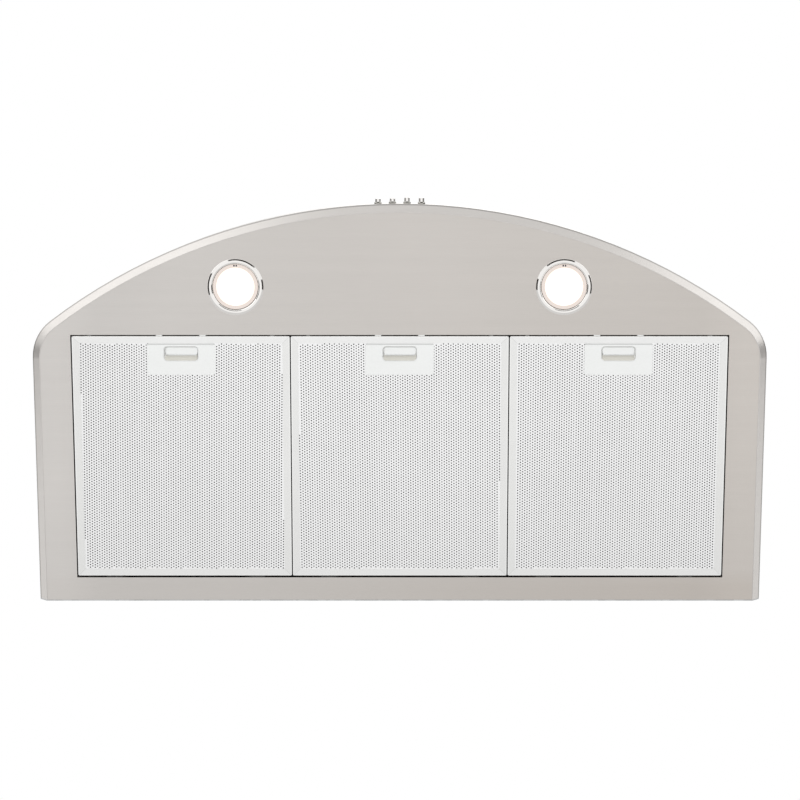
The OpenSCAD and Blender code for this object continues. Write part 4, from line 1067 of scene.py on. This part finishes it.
def make_cards(shade):
    """Dark upright cards that only the plated metal mirrors."""
    made, tree = glowing("Card")
    glow = put(tree, "ShaderNodeEmission", {"Color": (*shade, 1.0), "Strength": 1.0})
    put(tree, "ShaderNodeOutputMaterial", {"Surface": glow.outputs[0]})
    for name, start, end, low, high in (
        ("card_front", (-0.60, -1.40), (0.77, -1.40), -0.76, -0.38),
        ("card_left", (-0.80, -0.65), (-0.80, -0.18), -0.62, -0.11),
        ("card_right", (0.95, -0.65), (0.95, -0.16), -0.68, -0.15),
        ("card_left_tall", (-2.60, -0.62), (-2.60, -0.12), 0.0, 4.8),
        ("card_right_tall", (2.75, -0.80), (2.75, -0.12), 0.0, 5.2),
    ):
        card = stage_sheet(name, [(*start, low), (*end, low), (*end, high), (*start, high)], made)
        card.visible_camera = card.visible_diffuse = card.visible_shadow = False


def make_camera(scene, stage):
    """Below and in front of the hood, looking up with the wall at the picture's foot."""
    camera = in_scene("camera", bpy.data.cameras.new("camera"))
    camera.data.lens = stage.lens
    camera.data.sensor_width = 36.0
    aside, s, c = 0.0003, math.sin(stage.tilt), math.cos(stage.tilt)
    turn = Matrix(((1, 0, 0), (0, -c, -s), (0, s, -c)))
    camera.matrix_world = Matrix.Translation((aside, -stage.ahead, -stage.below)) @ turn.to_4x4()
    scene.camera = camera


class HOOD_OT_stage(bpy.types.Operator):
    """Sets the floor, the light and the camera"""
    bl_idname = "hood.stage"
    bl_label = "Stage"

    def execute(self, context):
        scene = context.scene
        stage = scene.hood_stage
        make_floor(stage.floor)
        make_world(scene)
        # soft boxes at both sides of the front, and one above
        aim = (0.0, -0.25, 0.1)
        soft_box("soft_box_left", round_about(-42, 3.4, 0.25), aim, 3.2, 2.2, stage.soft * 0.8)
        soft_box("soft_box_right", round_about(60, 3.4, 0.25), aim, 2.8, 2.2, stage.soft * 0.65)
        soft_box("soft_box_top", (0.6, -2.0, 3.4), (0, -0.2, 0.3), 2.4, 2.4, stage.soft)
        make_cards(stage.card)
        make_camera(scene, stage)
        scene.view_settings.view_transform = "Standard"
        return {"FINISHED"}


class HOOD_PT_panel(bpy.types.Panel):
    """Lists the steps and the sizes"""
    bl_label = "Range hood"
    bl_space_type = "VIEW_3D"
    bl_region_type = "UI"
    bl_category = "Range hood"

    def draw(self, context):
        for step in STEPS:
            self.layout.operator(step.bl_idname)
        for name in GROUPS:
            settings = getattr(context.scene, name)
            box = self.layout.box()
            for key in settings.__annotations__:
                box.prop(settings, key)


STEPS = (
    HOOD_OT_canopy, HOOD_OT_filters, HOOD_OT_perforated_sheets, HOOD_OT_latches, HOOD_OT_lamps,
    HOOD_OT_buttons, HOOD_OT_electrics, HOOD_OT_blower, HOOD_OT_duct, HOOD_OT_chimney, HOOD_OT_stage,
)
GROUPS = {
    "hood_filter": HoodFilterSizes, "hood_finishes": HoodFinishes, "hood_lamp": HoodLampLight,
    "hood_stage": HoodStage,
}


def register():
    for kind in (*GROUPS.values(), *STEPS, HOOD_PT_panel):
        bpy.utils.register_class(kind)
    for name, kind in GROUPS.items():
        setattr(bpy.types.Scene, name, PointerProperty(type=kind))


def unregister():
    for name in GROUPS:
        delattr(bpy.types.Scene, name)
    for kind in reversed((*GROUPS.values(), *STEPS, HOOD_PT_panel)):
        bpy.utils.unregister_class(kind)


def main():
    """Runs the steps in their order."""
    register()
    for step in STEPS:
        section, name = step.bl_idname.split(".")
        getattr(getattr(bpy.ops, section), name)()


if __name__ == "__main__":
    main()
